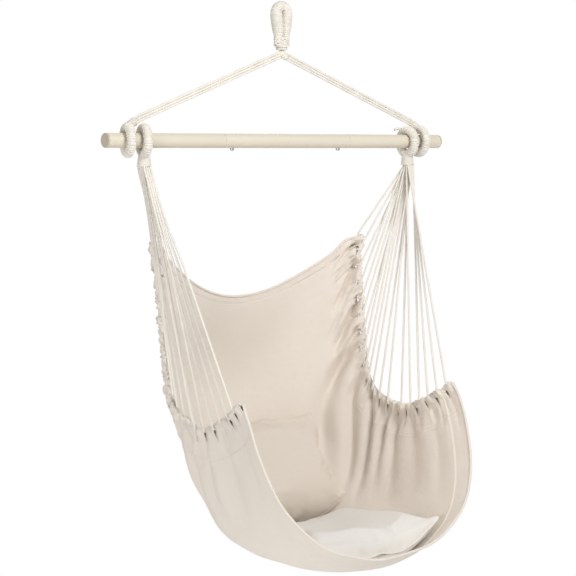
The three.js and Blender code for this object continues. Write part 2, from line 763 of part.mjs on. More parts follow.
// The place on the cloth's middle surface, flat between the lines of its grid, and its direction
function clothAt(grid, u, s) {
  let i = 0;
  while (i < uLines.length - 2 && uLines[i + 1] < u) i += 1;
  const onLine = (line, lineShare) => {
    const band = hemInset(lineShare, SLIT_DEPTH);
    const reach = ((s - (band - 1)) / (2 - 2 * band)) * SLING_STEPS_ACROSS;
    const j = Math.floor(reach);
    const near = line[j + 1];
    const far = line[j + 2];
    return {
      at: near.at.clone().lerp(far.at, reach - j),
      outward: near.outward.clone().lerp(far.outward, reach - j),
    };
  };
  const part = (u - uLines[i]) / (uLines[i + 1] - uLines[i]);
  const near = onLine(grid[i], uLines[i]);
  const far = onLine(grid[i + 1], uLines[i + 1]);
  return {
    at: near.at.lerp(far.at, part),
    outward: near.outward.lerp(far.outward, part).normalize(),
  };
}

// A stuffed cushion laid on the cloth: its lower face follows the cloth and rises to the seam,
// and its upper face is crowned, with the edges drawn in between full corners
function cushion(name, grid, shares, faceAngle, thickness, seam) {
  const turn = THREE.MathUtils.degToRad(faceAngle);
  const face = vec(0, -Math.cos(turn), Math.sin(turn));
  const steps = CUSHION_STEPS;
  const position = [];
  const index = [];
  const top = [];
  const low = [];
  const put = (p) => {
    position.push(p.x, p.y, p.z);
    return position.length / 3 - 1;
  };
  const places = Array.from({ length: steps + 1 }, (_, i) => Math.sin((i / steps - 0.5) * Math.PI));
  places.forEach((a) => {
    const topLine = [];
    const lowLine = [];
    places.forEach((b) => {
      const drawnAcross = a * (1 - CUSHION_DRAW_SHARE * (1 - b * b));
      const drawnAlong = b * (1 - CUSHION_DRAW_SHARE * (1 - a * a));
      const u = lerp(shares.frontShare, shares.backShare, (drawnAlong + 1) / 2);
      const s = shares.middleShare + shares.halfShare * drawnAcross;
      const { at, outward } = clothAt(grid, u, s);
      const rest = at.addScaledVector(outward, -(FABRIC_THICKNESS / 2 + CUSHION_GAP));
      const fill = Math.sqrt((1 - a ** 4) * (1 - b ** 4));
      const lower = rest.clone().addScaledVector(face, seam * (1 - fill));
      const upper = rest.clone()
        .addScaledVector(face, lerp(seam + CUSHION_EDGE, thickness, fill));
      topLine.push(put(upper));
      lowLine.push(put(lower));
    });
    top.push(topLine);
    low.push(lowLine);
  });
  const quad = (a, b, c, d) => index.push(a, b, c, a, c, d);
  for (let i = 0; i < steps; i += 1) {
    for (let j = 0; j < steps; j += 1) {
      quad(top[i][j], top[i + 1][j], top[i + 1][j + 1], top[i][j + 1]);
      quad(low[i][j], low[i][j + 1], low[i + 1][j + 1], low[i + 1][j]);
    }
    quad(low[i][0], low[i + 1][0], top[i + 1][0], top[i][0]);
    quad(low[i + 1][steps], low[i][steps], top[i][steps], top[i + 1][steps]);
    quad(low[0][i + 1], low[0][i], top[0][i], top[0][i + 1]);
    quad(low[steps][i], low[steps][i + 1], top[steps][i + 1], top[steps][i]);
  }
  add(name, indexed(position, index), canvas);
}

// Hanging eye, neck and knot
const loopCentreTop = BAR_DROP + loopBundle;
const loopLine = beltLine(loopCentreTop, LOOP_TOP_RADIUS, LOOP_END_RADIUS, LOOP_HEIGHT);
core('hanging_eye_core', loopLine, LOOP_CORE_RADIUS, LOOP_CORE_STEPS);
winding('hanging_eye_wrap', loopLine, LOOP_CORE_RADIUS, LOOP_WRAP_RADIUS, LOOP_TURNS,
  LOOP_WRAP_START_SHARE);
const neckEnd = collar('neck_whipping', loopLine, LOOP_CORE_RADIUS, vec(0, 0, -1), NECK_RADIUS,
  NECK_END_RADIUS, NECK_LENGTH);
const bandShape = turned([
  [-BAND_HEIGHT, 0],
  [-BAND_HEIGHT, BAND_RADIUS],
  [0, BAND_RADIUS],
  [0, 0],
], COLLAR_SIDES, UP);
bandShape.translate(neckEnd.x, neckEnd.y, neckEnd.z);
add('neck_swivel_band', bandShape, cotton);
const knotCentre = vec(0, 0, neckEnd.z - BAND_HEIGHT - FIT_GAP - KNOT_RADIUS);
const knotShape = new THREE.SphereGeometry(KNOT_RADIUS, KNOT_SIDES, KNOT_RINGS);
knotShape.rotateX(Math.PI / 2);
knotShape.translate(knotCentre.x, knotCentre.y, knotCentre.z);
add('neck_knot', knotShape, cotton);

// Bar
sideTube('bar_left_tube', -1, SEAM_LEFT);
middleTube();
sideTube('bar_right_tube', 1, SEAM_RIGHT);
endCap('bar_left_cap', -1);
endCap('bar_right_cap', 1);
snapButton('snap_button_left', BUTTON_INSET - SEAM_LEFT);
snapButton('snap_button_right', SEAM_RIGHT - BUTTON_INSET);
leafSpring('button_spring_left', BUTTON_INSET - SEAM_LEFT, -1);
leafSpring('button_spring_right', SEAM_RIGHT - BUTTON_INSET, 1);

// Eyes, collars, ropes and cords, one side after the other
const grid = slingGrid();
[
  {
    word: 'left',
    side: -1,
    outer: { inset: OUTER_EYE_LEFT_INSET, yaw: OUTER_EYE_LEFT_YAW },
    inner: { inset: INNER_EYE_LEFT_INSET, yaw: INNER_EYE_LEFT_YAW },
  },
  {
    word: 'right',
    side: 1,
    outer: { inset: OUTER_EYE_RIGHT_INSET, yaw: OUTER_EYE_RIGHT_YAW },
    inner: { inset: INNER_EYE_RIGHT_INSET, yaw: INNER_EYE_RIGHT_YAW },
  },
].forEach(({ word, side, outer, inner }) => {
  const end = side * (BAR_LENGTH / 2);
  const outerX = end - side * outer.inset;
  const outerLine = wrappedEye(`${word}_rope_eye`, outerX, outer.yaw, 1);
  const lean = THREE.MathUtils.degToRad(ROPE_COLLAR_LEAN);
  const direction = vec(-side * Math.sin(lean), 0, Math.cos(lean));
  const ropeFace = collar(`${word}_rope_collar`, outerLine, EYE_CORE_RADIUS, direction,
    ROPE_COLLAR_RADIUS, ROPE_COLLAR_RADIUS, ROPE_COLLAR_LENGTH);
  suspensionRopes(`${word}_suspension_rope`, side, knotCentre, ropeFace, direction);

  const innerX = end - side * inner.inset;
  const innerLine = wrappedEye(`${word}_seat_eye`, innerX, inner.yaw, -1);
  const seatFace = collar(`${word}_seat_collar`, innerLine, EYE_CORE_RADIUS, vec(0, 0, -1),
    SEAT_COLLAR_TOP_RADIUS, SEAT_COLLAR_END_RADIUS, SEAT_COLLAR_LENGTH);
  for (let loop = 0; loop < CORD_LOOPS; loop += 1) {
    seatCordLoop(`${word}_seat_cord_${loop + 1}`, side, seatFace, loop);
  }
  earCord(`${word}_ear_cord`, side, seatFace);
  hemRope(`${word}_hem_rope`, side);
});

// Sling and cushions
sling(grid);
piping('front_edge_piping', grid[0], -1);
piping('top_edge_piping', grid[grid.length - 1], 1);
cushion('seat_cushion', grid, SEAT_CUSHION_SHARES, SEAT_CUSHION_ANGLE, SEAT_CUSHION_THICKNESS,
  SEAT_CUSHION_SEAM);
cushion('back_cushion', grid, BACK_CUSHION_SHARES, BACK_CUSHION_ANGLE, BACK_CUSHION_THICKNESS,
  BACK_CUSHION_SEAM);

export default chair;
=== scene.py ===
"""Looks of the hammock chair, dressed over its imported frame.

A cotton sling with two loose cushions hangs by cords from a three-piece metal bar, which hangs by
ropes from one wound eye. Metres, +Z up, the chair faces -Y, and the origin is the inside of the top
of the hanging eye. Each sub-assembly is a class: its fields are its sizes, and its methods build
its meshes and dress them. A shape is a function of two parameters on a grid, or a profile carried
along a path, worked out as whole numpy arrays.
"""

import functools
import json
import logging
import math
from dataclasses import dataclass, replace
from enum import Enum
from typing import Callable

import bmesh
import bpy
import numpy as np
from mathutils import Matrix, Vector
from mathutils.bvhtree import BVHTree

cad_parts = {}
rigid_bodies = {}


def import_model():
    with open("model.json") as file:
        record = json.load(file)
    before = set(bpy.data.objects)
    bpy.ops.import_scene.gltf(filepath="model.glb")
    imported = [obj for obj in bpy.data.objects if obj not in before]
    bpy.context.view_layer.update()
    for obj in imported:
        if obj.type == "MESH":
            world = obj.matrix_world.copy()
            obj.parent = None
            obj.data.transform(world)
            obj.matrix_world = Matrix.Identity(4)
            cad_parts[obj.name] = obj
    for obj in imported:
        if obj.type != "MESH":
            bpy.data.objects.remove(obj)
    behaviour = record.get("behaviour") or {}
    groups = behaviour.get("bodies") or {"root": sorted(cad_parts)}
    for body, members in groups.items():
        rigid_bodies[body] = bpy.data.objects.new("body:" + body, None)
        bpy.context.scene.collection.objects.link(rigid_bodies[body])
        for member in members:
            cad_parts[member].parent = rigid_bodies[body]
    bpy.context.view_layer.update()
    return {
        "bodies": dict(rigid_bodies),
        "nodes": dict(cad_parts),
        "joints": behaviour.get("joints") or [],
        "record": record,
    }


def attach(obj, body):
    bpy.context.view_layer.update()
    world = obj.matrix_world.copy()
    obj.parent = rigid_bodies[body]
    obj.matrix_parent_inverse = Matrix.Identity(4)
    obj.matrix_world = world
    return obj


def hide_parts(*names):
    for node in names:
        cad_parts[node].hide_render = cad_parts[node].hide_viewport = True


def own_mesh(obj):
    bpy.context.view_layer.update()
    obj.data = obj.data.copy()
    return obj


log = logging.getLogger("hammock_chair")

Array = np.ndarray

TINY = 1e-9
WELD_REACH = 1e-6
SMALL_STEP = 1e-4
SEED = 7

# Places that several classes share, and the angle of the ropes' collars from upright
BAR_DROP = 0.300
BAR_HALF = 0.500
BAR_RADIUS = 0.0165
ROPE_LEAN = 58.0
FIT_GAP = 0.00035
SIDES = {"left": -1.0, "right": 1.0}

# How far in from the bar's end each side's eyes are, and how many degrees they are turned
ROPE_EYES = {"left": (0.058, 20.0), "right": (0.062, 5.0)}
SEAT_EYES = {"left": (0.102, 19.0), "right": (0.100, 5.0)}


class Body(str, Enum):
    """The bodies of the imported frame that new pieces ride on."""

    HANGING_EYE = "hanging_eye"
    NECK_SWIVEL = "neck_swivel"
    NECK_SWAY = "neck_sway"
    SUSPENSION = "suspension"
    BAR = "spreader_bar"
    LEFT_BUTTON = "left_button"
    RIGHT_BUTTON = "right_button"
    SLING = "sling_seat"
    SEAT_CUSHION = "seat_cushion"
    BACK_CUSHION = "back_cushion"


class Slot(str, Enum):
    """The record's material slots."""

    ROPE = "rope_cotton"
    CANVAS = "canvas"
    CUSHION = "cushion_cotton"
    PAINT = "bar_paint"
    PLASTIC = "cap_plastic"
    STEEL = "steel"


# Arrays, paths and meshes


def unit(v: Array) -> Array:
    """Returns v scaled to length one along its last axis."""
    return v / np.maximum(np.linalg.norm(v, axis=-1, keepdims=True), TINY)


def ease(t: Array) -> Array:
    """Returns 0 below 0, 1 above 1, and the cubic 3t^2 - 2t^3 between them."""
    t = np.clip(t, 0.0, 1.0)
    return t * t * (3.0 - 2.0 * t)


def lerp(low: Array, high: Array, share: Array) -> Array:
    """Returns the point that lies at `share` of the way from low to high."""
    return low + (high - low) * share


def through(knots: Array, values: Array, at: Array) -> Array:
    """A cubic Hermite through the knots, whose slope at a knot is its neighbours' chord's.

    Args:
        knots: places of the knots, rising.
        values: value at each knot.
        at: places at which the curve is wanted, of any shape.

    Returns:
        The curve's values, with the shape of `at`.
    """
    knots = np.asarray(knots, float)
    values = np.asarray(values, float)
    low = np.maximum(np.arange(len(knots)) - 1, 0)
    high = np.minimum(np.arange(len(knots)) + 1, len(knots) - 1)
    slope = (values[high] - values[low]) / (knots[high] - knots[low])
    i = np.clip(np.searchsorted(knots, at, side="right") - 1, 0, len(knots) - 2)
    span = knots[i + 1] - knots[i]
    t = (at - knots[i]) / span
    rest = 1.0 - t
    start = values[i] * (1.0 + 2.0 * t) * rest * rest + slope[i] * span * t * rest * rest
    end = values[i + 1] * t * t * (3.0 - 2.0 * t) - slope[i + 1] * span * t * t * rest
    return start + end


def bell(x: Array) -> Array:
    """Returns exp(-x^2)."""
    return np.exp(-x ** 2)


def whole_turn(count: int) -> Array:
    """Returns so many evenly spread angles of one turn."""
    return 2.0 * np.pi * np.arange(count) / count


def ring(angle: Array, wide: float, deep: float, height: Array | float) -> Array:
    """Returns the points (wide cos a, deep sin a, height) at the given angles."""
    return np.stack([wide * np.cos(angle), deep * np.sin(angle), np.full_like(angle, height)], axis=1)


def lengths_along(points: Array) -> Array:
    """Returns the length of the path up to each of its points."""
    steps = np.linalg.norm(np.diff(points, axis=0), axis=1)
    return np.concatenate([[0.0], np.cumsum(steps)])


def resampled(points: Array, step: float) -> Array:
    """Points at even steps along a path.

    Args:
        points: the path's corners, one row each.
        step: distance wanted between points.

    Returns:
        Points on the straight runs between the corners, first and last ones included.
    """
    along = lengths_along(points)
    count = max(int(round(along[-1] / step)), 2)
    at = np.linspace(0.0, along[-1], count + 1)
    return at_lengths(points, along, at)


def rounded(points: Array, step: float, reach: float) -> Array:
    """An even path with its corners rounded: each point is a bell-weighted mean of those near it.

    Args:
        points: the path's corners.
        step: distance between points of the result.
        reach: length of path that one mean takes in.

    Returns:
        The rounded path, whose two ends stay in place.
    """
    line = resampled(np.asarray(points, float), step)
    half = max(int(reach / step / 2.0), 1)
    out = np.arange(1, half + 1)[:, None]
    before = line[0] - (line[1] - line[0]) * out[::-1]
    after = line[-1] + (line[-1] - line[-2]) * out
    padded = np.vstack([before, line, after])
    weights = np.hanning(2 * half + 3)[1:-1]
    weights /= weights.sum()
    return np.stack([np.convolve(padded[:, k], weights, "valid") for k in range(3)], axis=1)


def at_lengths(points: Array, along: Array, at: Array) -> Array:
    """Returns the points of a path that lie at given lengths along it."""
    return np.stack([np.interp(at, along, points[:, k]) for k in range(points.shape[1])], axis=1)


def path_tangents(points: Array, closed: bool) -> Array:
    """Returns the unit direction at each point of a path, from its two neighbours."""
    if closed:
        return unit(np.roll(points, -1, axis=0) - np.roll(points, 1, axis=0))
    return unit(np.gradient(points, axis=0))


def carried_normals(tangents: Array) -> Array:
    """Directions square to a path that turn as little as possible from one ring to the next.

    Args:
        tangents: unit direction at each ring.

    Returns:
        One unit normal a ring: the ring before's, less its part along the new tangent.
    """
    upright = abs(tangents[0][2]) >= math.sqrt(0.5)
    normals = np.empty_like(tangents)
    normal = np.array([1.0, 0.0, 0.0] if upright else [0.0, 0.0, 1.0])
    for i, tangent in enumerate(tangents):
        normal = normal - normal.dot(tangent) * tangent
        normal = normal / math.sqrt(normal.dot(normal))
        normals[i] = normal
    return normals


def grid_faces(rows: int, columns: int, wrap_rows: bool = False,
               wrap_columns: bool = False) -> Array:
    """Quads of a grid whose vertex (i, j) has the number i * columns + j.

    Args:
        rows: number of rows of vertices.
        columns: vertices in a row.
        wrap_rows: whether the last row joins the first.
        wrap_columns: whether each row closes on itself.

    Returns:
        One row of four vertex numbers a face, as an array of shape (rows, columns, 4) flattened.
    """
    i = np.arange(rows if wrap_rows else rows - 1)[:, None]
    j = np.arange(columns if wrap_columns else columns - 1)[None, :]
    below = (i + 1) % rows
    beside = (j + 1) % columns
    quads = np.stack([
        i * columns + j,
        i * columns + beside,
        below * columns + beside,
        below * columns + j,
    ], axis=-1)
    return quads.reshape(-1, 4)


def shade_smooth(mesh: bpy.types.Mesh) -> None:
    """Shades every face of a mesh smooth."""
    mesh.polygons.foreach_set("use_smooth", np.full(len(mesh.polygons), True))


@dataclass
class Surface:
    """A mesh in the making: vertices, quads, caps and a UV pair for each corner of a quad."""

    points: Array
    quads: Array
    uv: Array | None = None
    caps: tuple[Array, ...] = ()

    def joined(self, other: "Surface") -> "Surface":
        """This surface and another one as one mesh.

        Args:
            other: the surface to add.

        Returns:
            The mesh, with a UV map where both have one.
        """
        shift = len(self.points)
        uv = None
        if self.uv is not None and other.uv is not None:
            uv = np.concatenate([self.uv, other.uv])
        caps = self.caps + tuple(cap + shift for cap in other.caps)
        points = np.concatenate([self.points, other.points])
        return Surface(points, np.concatenate([self.quads, other.quads + shift]), uv, caps)

    def build(self, name: str, finish: "Finish") -> bpy.types.Object:
        """Makes the Blender object, shaded smooth.

        Args:
            name: name of the object and its mesh.
            finish: what it is finished in.

        Returns:
            The object, linked to the scene, at the origin.
        """
        mesh = bpy.data.meshes.new(name)
        quads = len(self.quads)
        sizes = np.array([4] * quads + [len(cap) for cap in self.caps], np.int32)
        corners = np.concatenate([self.quads.ravel(), *self.caps]).astype(np.int32)
        starts = np.cumsum(sizes, dtype=np.int32) - sizes
        mesh.vertices.add(len(self.points))
        mesh.vertices.foreach_set("co", self.points.astype(np.float32).ravel())
        mesh.loops.add(len(corners))
        mesh.loops.foreach_set("vertex_index", corners)
        mesh.polygons.add(len(sizes))
        mesh.polygons.foreach_set("loop_start", starts)
        mesh.polygons.foreach_set("loop_total", sizes)
        if self.uv is not None:
            layer = mesh.uv_layers.new(name="UVMap")
            uv = np.zeros((len(corners), 2), np.float32)
            uv[:quads * 4] = self.uv.reshape(-1, 2)
            layer.data.foreach_set("uv", uv.ravel())
        mesh.update(calc_edges=True)
        mesh.validate()
        mesh.materials.append(finish.material())
        shade_smooth(mesh)
        made = bpy.data.objects.new(name, mesh)
        bpy.context.scene.collection.objects.link(made)
        return made


def merged(parts: list[Surface]) -> Surface:
    """Returns several surfaces as one mesh."""
    return functools.reduce(Surface.joined, parts)


def ring_uv(faces: Array, sides: int, run: Array) -> Array:
    """UV pairs of the quads of a tube: U runs once round it, and V is each ring's place in metres.

    Args:
        faces: the tube's quads.
        sides: vertices in a ring.
        run: V of each ring, with one more for the ring after the last.

    Returns:
        A pair for each corner of each quad.
    """
    i, k = np.divmod(np.arange(len(faces)), sides)
    corners = ((k, i), (k + 1, i), (k + 1, i + 1), (k, i + 1))
    return np.stack([np.stack([a / sides, run[b]], -1) for a, b in corners], axis=1)


@dataclass(frozen=True)
class Lay:
    """How a rope's strands lie round each other. A lay of no strands is a plain round cord."""

    strands: int = 3
    pitch: float = 0.018
    groove_share: float = 0.2

    def radii(self, angle: Array) -> Array:
        """The section's radius as a share: one at a strand's crown, less the groove between two.

        Args:
            angle: angle round the section, from a strand's crown.

        Returns:
            Share of the full radius at each angle: 1 - groove (1 - |cos(strands * angle / 2)|).
        """
        if not self.strands:
            return np.ones_like(angle)
        return 1.0 - self.groove_share * (1.0 - np.abs(np.cos(self.strands * angle / 2.0)))


PLAIN = Lay(strands=0, pitch=1.0)


def carried(path: Array, radius: Array | float, sides: int, lay: Lay = PLAIN,
            closed: bool = False) -> Surface:
    """A round or laid section carried along a path.

    Point (i, k) is path[i] + r (cos a N + sin a B), where N and B are square to the path, a is the
    side's angle plus the twist 2 pi length / pitch, and r is the radius times the lay's share.

    Args:
        path: centres of the rings.
        radius: one radius, or one for each ring.
        sides: points in a ring.
        lay: how the strands lie.
        closed: whether the path closes on itself.

    Returns:
        The tube, with its ends capped where it is open. U runs once round, V along in metres.
    """
    tangents = path_tangents(path, closed)
    normals = carried_normals(tangents)
    across = np.cross(tangents, normals)
    along = lengths_along(path)
    angle = whole_turn(sides)
    turns = round(along[-1] / lay.pitch) if closed else along[-1] / lay.pitch
    twist = 2.0 * np.pi * turns * along / along[-1] if lay.strands else np.zeros_like(along)
    whole = angle[None, :] + twist[:, None]
    size = np.broadcast_to(np.asarray(radius, float), (len(path),))[:, None] * lay.radii(angle)[None, :]
    points = path[:, None, :] + size[..., None] * (
        np.cos(whole)[..., None] * normals[:, None, :] + np.sin(whole)[..., None] * across[:, None, :])
    rows = len(path)
    faces = grid_faces(rows, sides, wrap_rows=closed, wrap_columns=True)
    run = np.append(along, along[-1] + np.linalg.norm(path[0] - path[-1]))
    caps = () if closed else (np.arange(sides)[::-1], (rows - 1) * sides + np.arange(sides))
    return Surface(points.reshape(-1, 3), faces, ring_uv(faces, sides, run), caps)


def spun(outline: Array, sides: int, axis: str) -> Surface:
    """A profile turned about X or Z: point (i, k) is at along_i on the axis and radius_i from it.

    Args:
        outline: rows of (place along the axis, radius), closed on itself.
        sides: steps round the axis.
        axis: "x" or "z".

    Returns:
        The closed ring or plug. Its faces point outwards when the outline runs with its solid
        side on the right, seen with the axis to the right and the radius up.
    """
    outline = np.asarray(outline, float)
    angle = whole_turn(sides)
    along = np.repeat(outline[:, :1], sides, axis=1)
    first = outline[:, 1:] * np.cos(angle)
    second = outline[:, 1:] * np.sin(angle)
    places = (along, first, second) if axis == "x" else (first, second, along)
    points = np.stack(places, axis=-1)
    faces = grid_faces(len(outline), sides, wrap_rows=True, wrap_columns=True)
    run = np.append(lengths_along(outline), 0.0)
    return Surface(points.reshape(-1, 3), faces, ring_uv(faces, sides, run))


def arc(centre: tuple[float, float], radius: float, start: float, end: float,
        steps: int) -> list[list[float]]:
    """Points of an arc in an outline.

    Args:
        centre: (along, radius) of its middle.
        radius: its radius.
        start: first angle in degrees, from the axis's own direction.
        end: last angle in degrees.
        steps: number of steps.

    Returns:
        Rows of (along, radius).
    """
    angle = np.radians(np.linspace(start, end, steps + 1))
    return np.stack([centre[0] + radius * np.cos(angle), centre[1] + radius * np.sin(angle)], 1).tolist()


def domed(centre: float, reach: float, radius: float, end: float, steps: int) -> list[list[float]]:
    """Points of a dome or a ball in an outline, from the pole at its low end.

    Args:
        centre: place of its widest ring along the axis.
        reach: distance from there to the pole.
        radius: radius of its widest ring.
        end: last angle in degrees: 0 at the widest ring, 90 at the other pole.
        steps: number of steps.

    Returns:
        Rows of (along, radius).
    """
    angle = np.radians(np.linspace(-90.0, end, steps + 1))
    rows = [centre + reach * np.sin(angle), np.maximum(radius * np.cos(angle), TINY)]
    return np.stack(rows, 1).tolist()


def welded(made: bpy.types.Object) -> bpy.types.Object:
    """Merges a mesh's doubles, such as a pole's, and turns its faces outwards.

    Args:
        made: the object.

    Returns:
        The object.
    """
    work = bmesh.new()
    work.from_mesh(made.data)
    bmesh.ops.remove_doubles(work, verts=work.verts, dist=WELD_REACH)
    bmesh.ops.recalc_face_normals(work, faces=work.faces)
    work.to_mesh(made.data)
    work.free()
    return made


def by_angle(made: bpy.types.Object, degrees: float) -> bpy.types.Object:
    """Shades a mesh smooth, but for edges sharper than so many degrees."""
    made.data.set_sharp_from_angle(angle=math.radians(degrees))
    return made


def dress(piece: bpy.types.Object, body: Body, slot: Slot, *nodes: str) -> bpy.types.Object:
    """Sets what a finished piece rides on, and hides the CAD nodes that it stands for.

    Args:
        piece: the finished piece.
        body: the body that it moves with.
        slot: the record's slot of its finish; not used.
        nodes: CAD nodes that it replaces.

    Returns:
        The piece.
    """
    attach(piece, body.value)
    if nodes:
        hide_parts(*nodes)
    log.info("%s on %s, %d faces", piece.name, body.value, len(piece.data.polygons))
    return piece


# Finishes


class Nodes:
    """Adds nodes to one material's or world's tree and links them."""

    def __init__(self, owner: bpy.types.Material | bpy.types.World, output: str = "Material") -> None:
        """Empties the owner's tree and puts its output in."""
        owner.use_nodes = True
        self.tree = owner.node_tree
        self.tree.nodes.clear()
        self.output = self.add("Output" + output)

    def add(self, kind: str, inputs: dict | None = None, **settings: object) -> bpy.types.Node:
        """Adds one node.

        Args:
            kind: the node's type, without its "ShaderNode" prefix.
            inputs: values or sockets for its inputs, by name or number.
            settings: the node's own properties.

        Returns:
            The node.
        """
        node = self.tree.nodes.new("ShaderNode" + kind)
        for key, value in settings.items():
            setattr(node, key, value)
        for key, value in (inputs or {}).items():
            if isinstance(value, bpy.types.NodeSocket):
                self.tree.links.new(value, node.inputs[key])
            else:
                node.inputs[key].default_value = value
        return node

    def maths(self, operation: str, *values: object) -> bpy.types.NodeSocket:
        """Returns the result of one Math node on values or sockets."""
        return self.add("Math", dict(enumerate(values)), operation=operation).outputs[0]

    def mixed(self, share: object, low: tuple, high: tuple) -> bpy.types.NodeSocket:
        """Returns a colour between two, by a share."""
        return self.add("Mix", {0: share, 6: (*low, 1.0), 7: (*high, 1.0)}, data_type="RGBA").outputs[2]

    def ranged(self, share: object, span: tuple) -> bpy.types.NodeSocket:
        """Returns the value that lies at a share of the way over a span."""
        return self.add("MapRange", {"Value": share, "To Min": span[0], "To Max": span[1]}).outputs[0]

    def noise(self, vector: object, scale: float, detail: float = 2.0) -> bpy.types.NodeSocket:
        """Returns a noise of so many lumps a metre, from 0 to 1."""
        return self.add("TexNoise", {"Vector": vector, "Scale": scale, "Detail": detail}).outputs[0]

    def stretched(self, vector: object, scale: tuple) -> bpy.types.NodeSocket:
        """Returns coordinates scaled by three numbers."""
        return self.add("Mapping", {"Vector": vector, "Scale": scale}).outputs[0]

    def bump(self, height: object, depth: float, under: object = None) -> bpy.types.NodeSocket:
        """Returns a normal bent by a height whose full range is `depth` metres, over another bump."""
        inputs = {"Height": height, "Distance": depth, "Strength": 1.0}
        if under is not None:
            inputs["Normal"] = under
        return self.add("Bump", inputs).outputs[0]

    def end(self, shader: bpy.types.Node) -> None:
        """Links a shader to the tree's output."""
        self.tree.links.new(shader.outputs[0], self.output.inputs[0])

    def principled(self, **inputs: object) -> None:
        """Ends the tree in a Principled shader, whose inputs' names have _ for a space."""
        spaced = {key.replace("_", " "): value for key, value in inputs.items()}
        self.end(self.add("BsdfPrincipled", spaced))


# Spacing of a Wave texture's bands at a scale of 1
WAVE_SPACING = 2.0 * math.pi / 20.0


@dataclass(frozen=True)
class Finish:
    """A finish by name. Each kind of finish adds its colours and its own nodes."""

    name: str

    def material(self) -> bpy.types.Material:
        """Returns the finish's material, made once."""
        made = bpy.data.materials.get(self.name)
        if made is None:
            made = bpy.data.materials.new(self.name)
            self.paint(Nodes(made))
        return made

    def paint(self, nodes: Nodes) -> None:
        """Fills the material's tree; each finish has its own."""
        raise NotImplementedError


@dataclass(frozen=True)
class Cotton(Finish):
    """Undyed cotton: matt with a soft sheen, of a light and a deep tone."""

    light: tuple = (0.850, 0.812, 0.750)
    deep: tuple = (0.740, 0.690, 0.615)
    roughness: float = 0.92
    sheen: float = 0.15
    sheen_roughness: float = 0.6
    specular: float = 0.2

    def shade(self, nodes: Nodes, share: object, normal: object) -> None:
        """Ends a tree in cotton's own shader, with its tone by a share and its surface by a normal."""
        nodes.principled(
            Base_Color=nodes.mixed(share, self.deep, self.light), Roughness=self.roughness,
            Normal=normal, Sheen_Weight=self.sheen, Sheen_Roughness=self.sheen_roughness,
            Specular_IOR_Level=self.specular)


@dataclass(frozen=True)
class CottonCord(Cotton):
    """Laid cotton cord: pale yarns that cross each strand at a slant, with loose fibres."""

    yarn_pitch: float = 0.0011
    yarn_depth: float = 0.000008
    yarn_share: float = 0.10
    yarns_crossed: float = 7.2
    yarn_wander: float = 0.6
    fuzz_scale: float = 1100.0
    fuzz_depth: float = 0.000010
    fuzz_detail: float = 3.0
    patch_scale: float = 35.0
    patch_share: float = 0.90

    def paint(self, nodes: Nodes) -> None:
        """Yarn bands run on the UV map, along and round the cord; fibres are noise in the object."""
        place = nodes.add("TexCoord")
        slant = (self.yarns_crossed * self.yarn_pitch, 1.0, 1.0)
        yarns = nodes.add("TexWave", {
            "Vector": nodes.stretched(place.outputs["UV"], slant),
            "Scale": WAVE_SPACING / self.yarn_pitch,
            "Distortion": self.yarn_wander,
            "Detail": 1.0,
        }, bands_direction="DIAGONAL").outputs[1]
        fuzz = nodes.noise(place.outputs["Object"], self.fuzz_scale, self.fuzz_detail)
        patches = nodes.noise(place.outputs["Object"], self.patch_scale)
        share = nodes.maths(
            "MULTIPLY_ADD", yarns, self.yarn_share, nodes.maths("MULTIPLY", patches, self.patch_share))
        self.shade(nodes, share, nodes.bump(fuzz, self.fuzz_depth, nodes.bump(yarns, self.yarn_depth)))


@dataclass(frozen=True)
class WovenCotton(Cotton):
    """Plain-woven cotton: warp and weft ribs, slubs along both, and slow changes of tone."""

    light: tuple = (0.835, 0.765, 0.690)
    deep: tuple = (0.765, 0.690, 0.605)
    roughness: float = 0.94
    sheen: float = 0.12
    sheen_roughness: float = 0.5
    yarn_pitch: float = 0.0009
    yarn_wander: float = 0.4
    weave_depth: float = 0.00010
    slub_scale: tuple = (900.0, 25.0, 1.0)
    slub_share: float = 1.1
    tone_scale: float = 7.0
    tone_share: float = 0.55
    crumple_scale: float = 38.0
    crumple_depth: float = 0.0016
    fine_detail: float = 3.0

    def paint(self, nodes: Nodes) -> None:
        """The weave and its slubs follow the UV map in metres; tone and crumples are in the object."""
        place = nodes.add("TexCoord")
        cloth = place.outputs["UV"]
        wave = {
            "Vector": cloth, "Scale": WAVE_SPACING / self.yarn_pitch, "Distortion": self.yarn_wander}
        warp, weft = (nodes.add("TexWave", wave, bands_direction=way).outputs[1] for way in "XY")
        across, along, flat = self.slub_scale
        slubs = [nodes.noise(nodes.stretched(cloth, scale), 1.0, 1.0)
                 for scale in ((across, along, flat), (along, across, flat))]
        tone = nodes.noise(place.outputs["Object"], self.tone_scale, self.fine_detail)
        share = nodes.maths(
            "MULTIPLY_ADD", nodes.maths("MULTIPLY", *slubs), self.slub_share,
            nodes.maths("MULTIPLY", tone, self.tone_share))
        crumples = nodes.noise(place.outputs["Object"], self.crumple_scale, self.fine_detail)
        weave = nodes.maths("ADD", warp, weft)
        self.shade(
            nodes, share, nodes.bump(weave, self.weave_depth, nodes.bump(crumples, self.crumple_depth)))


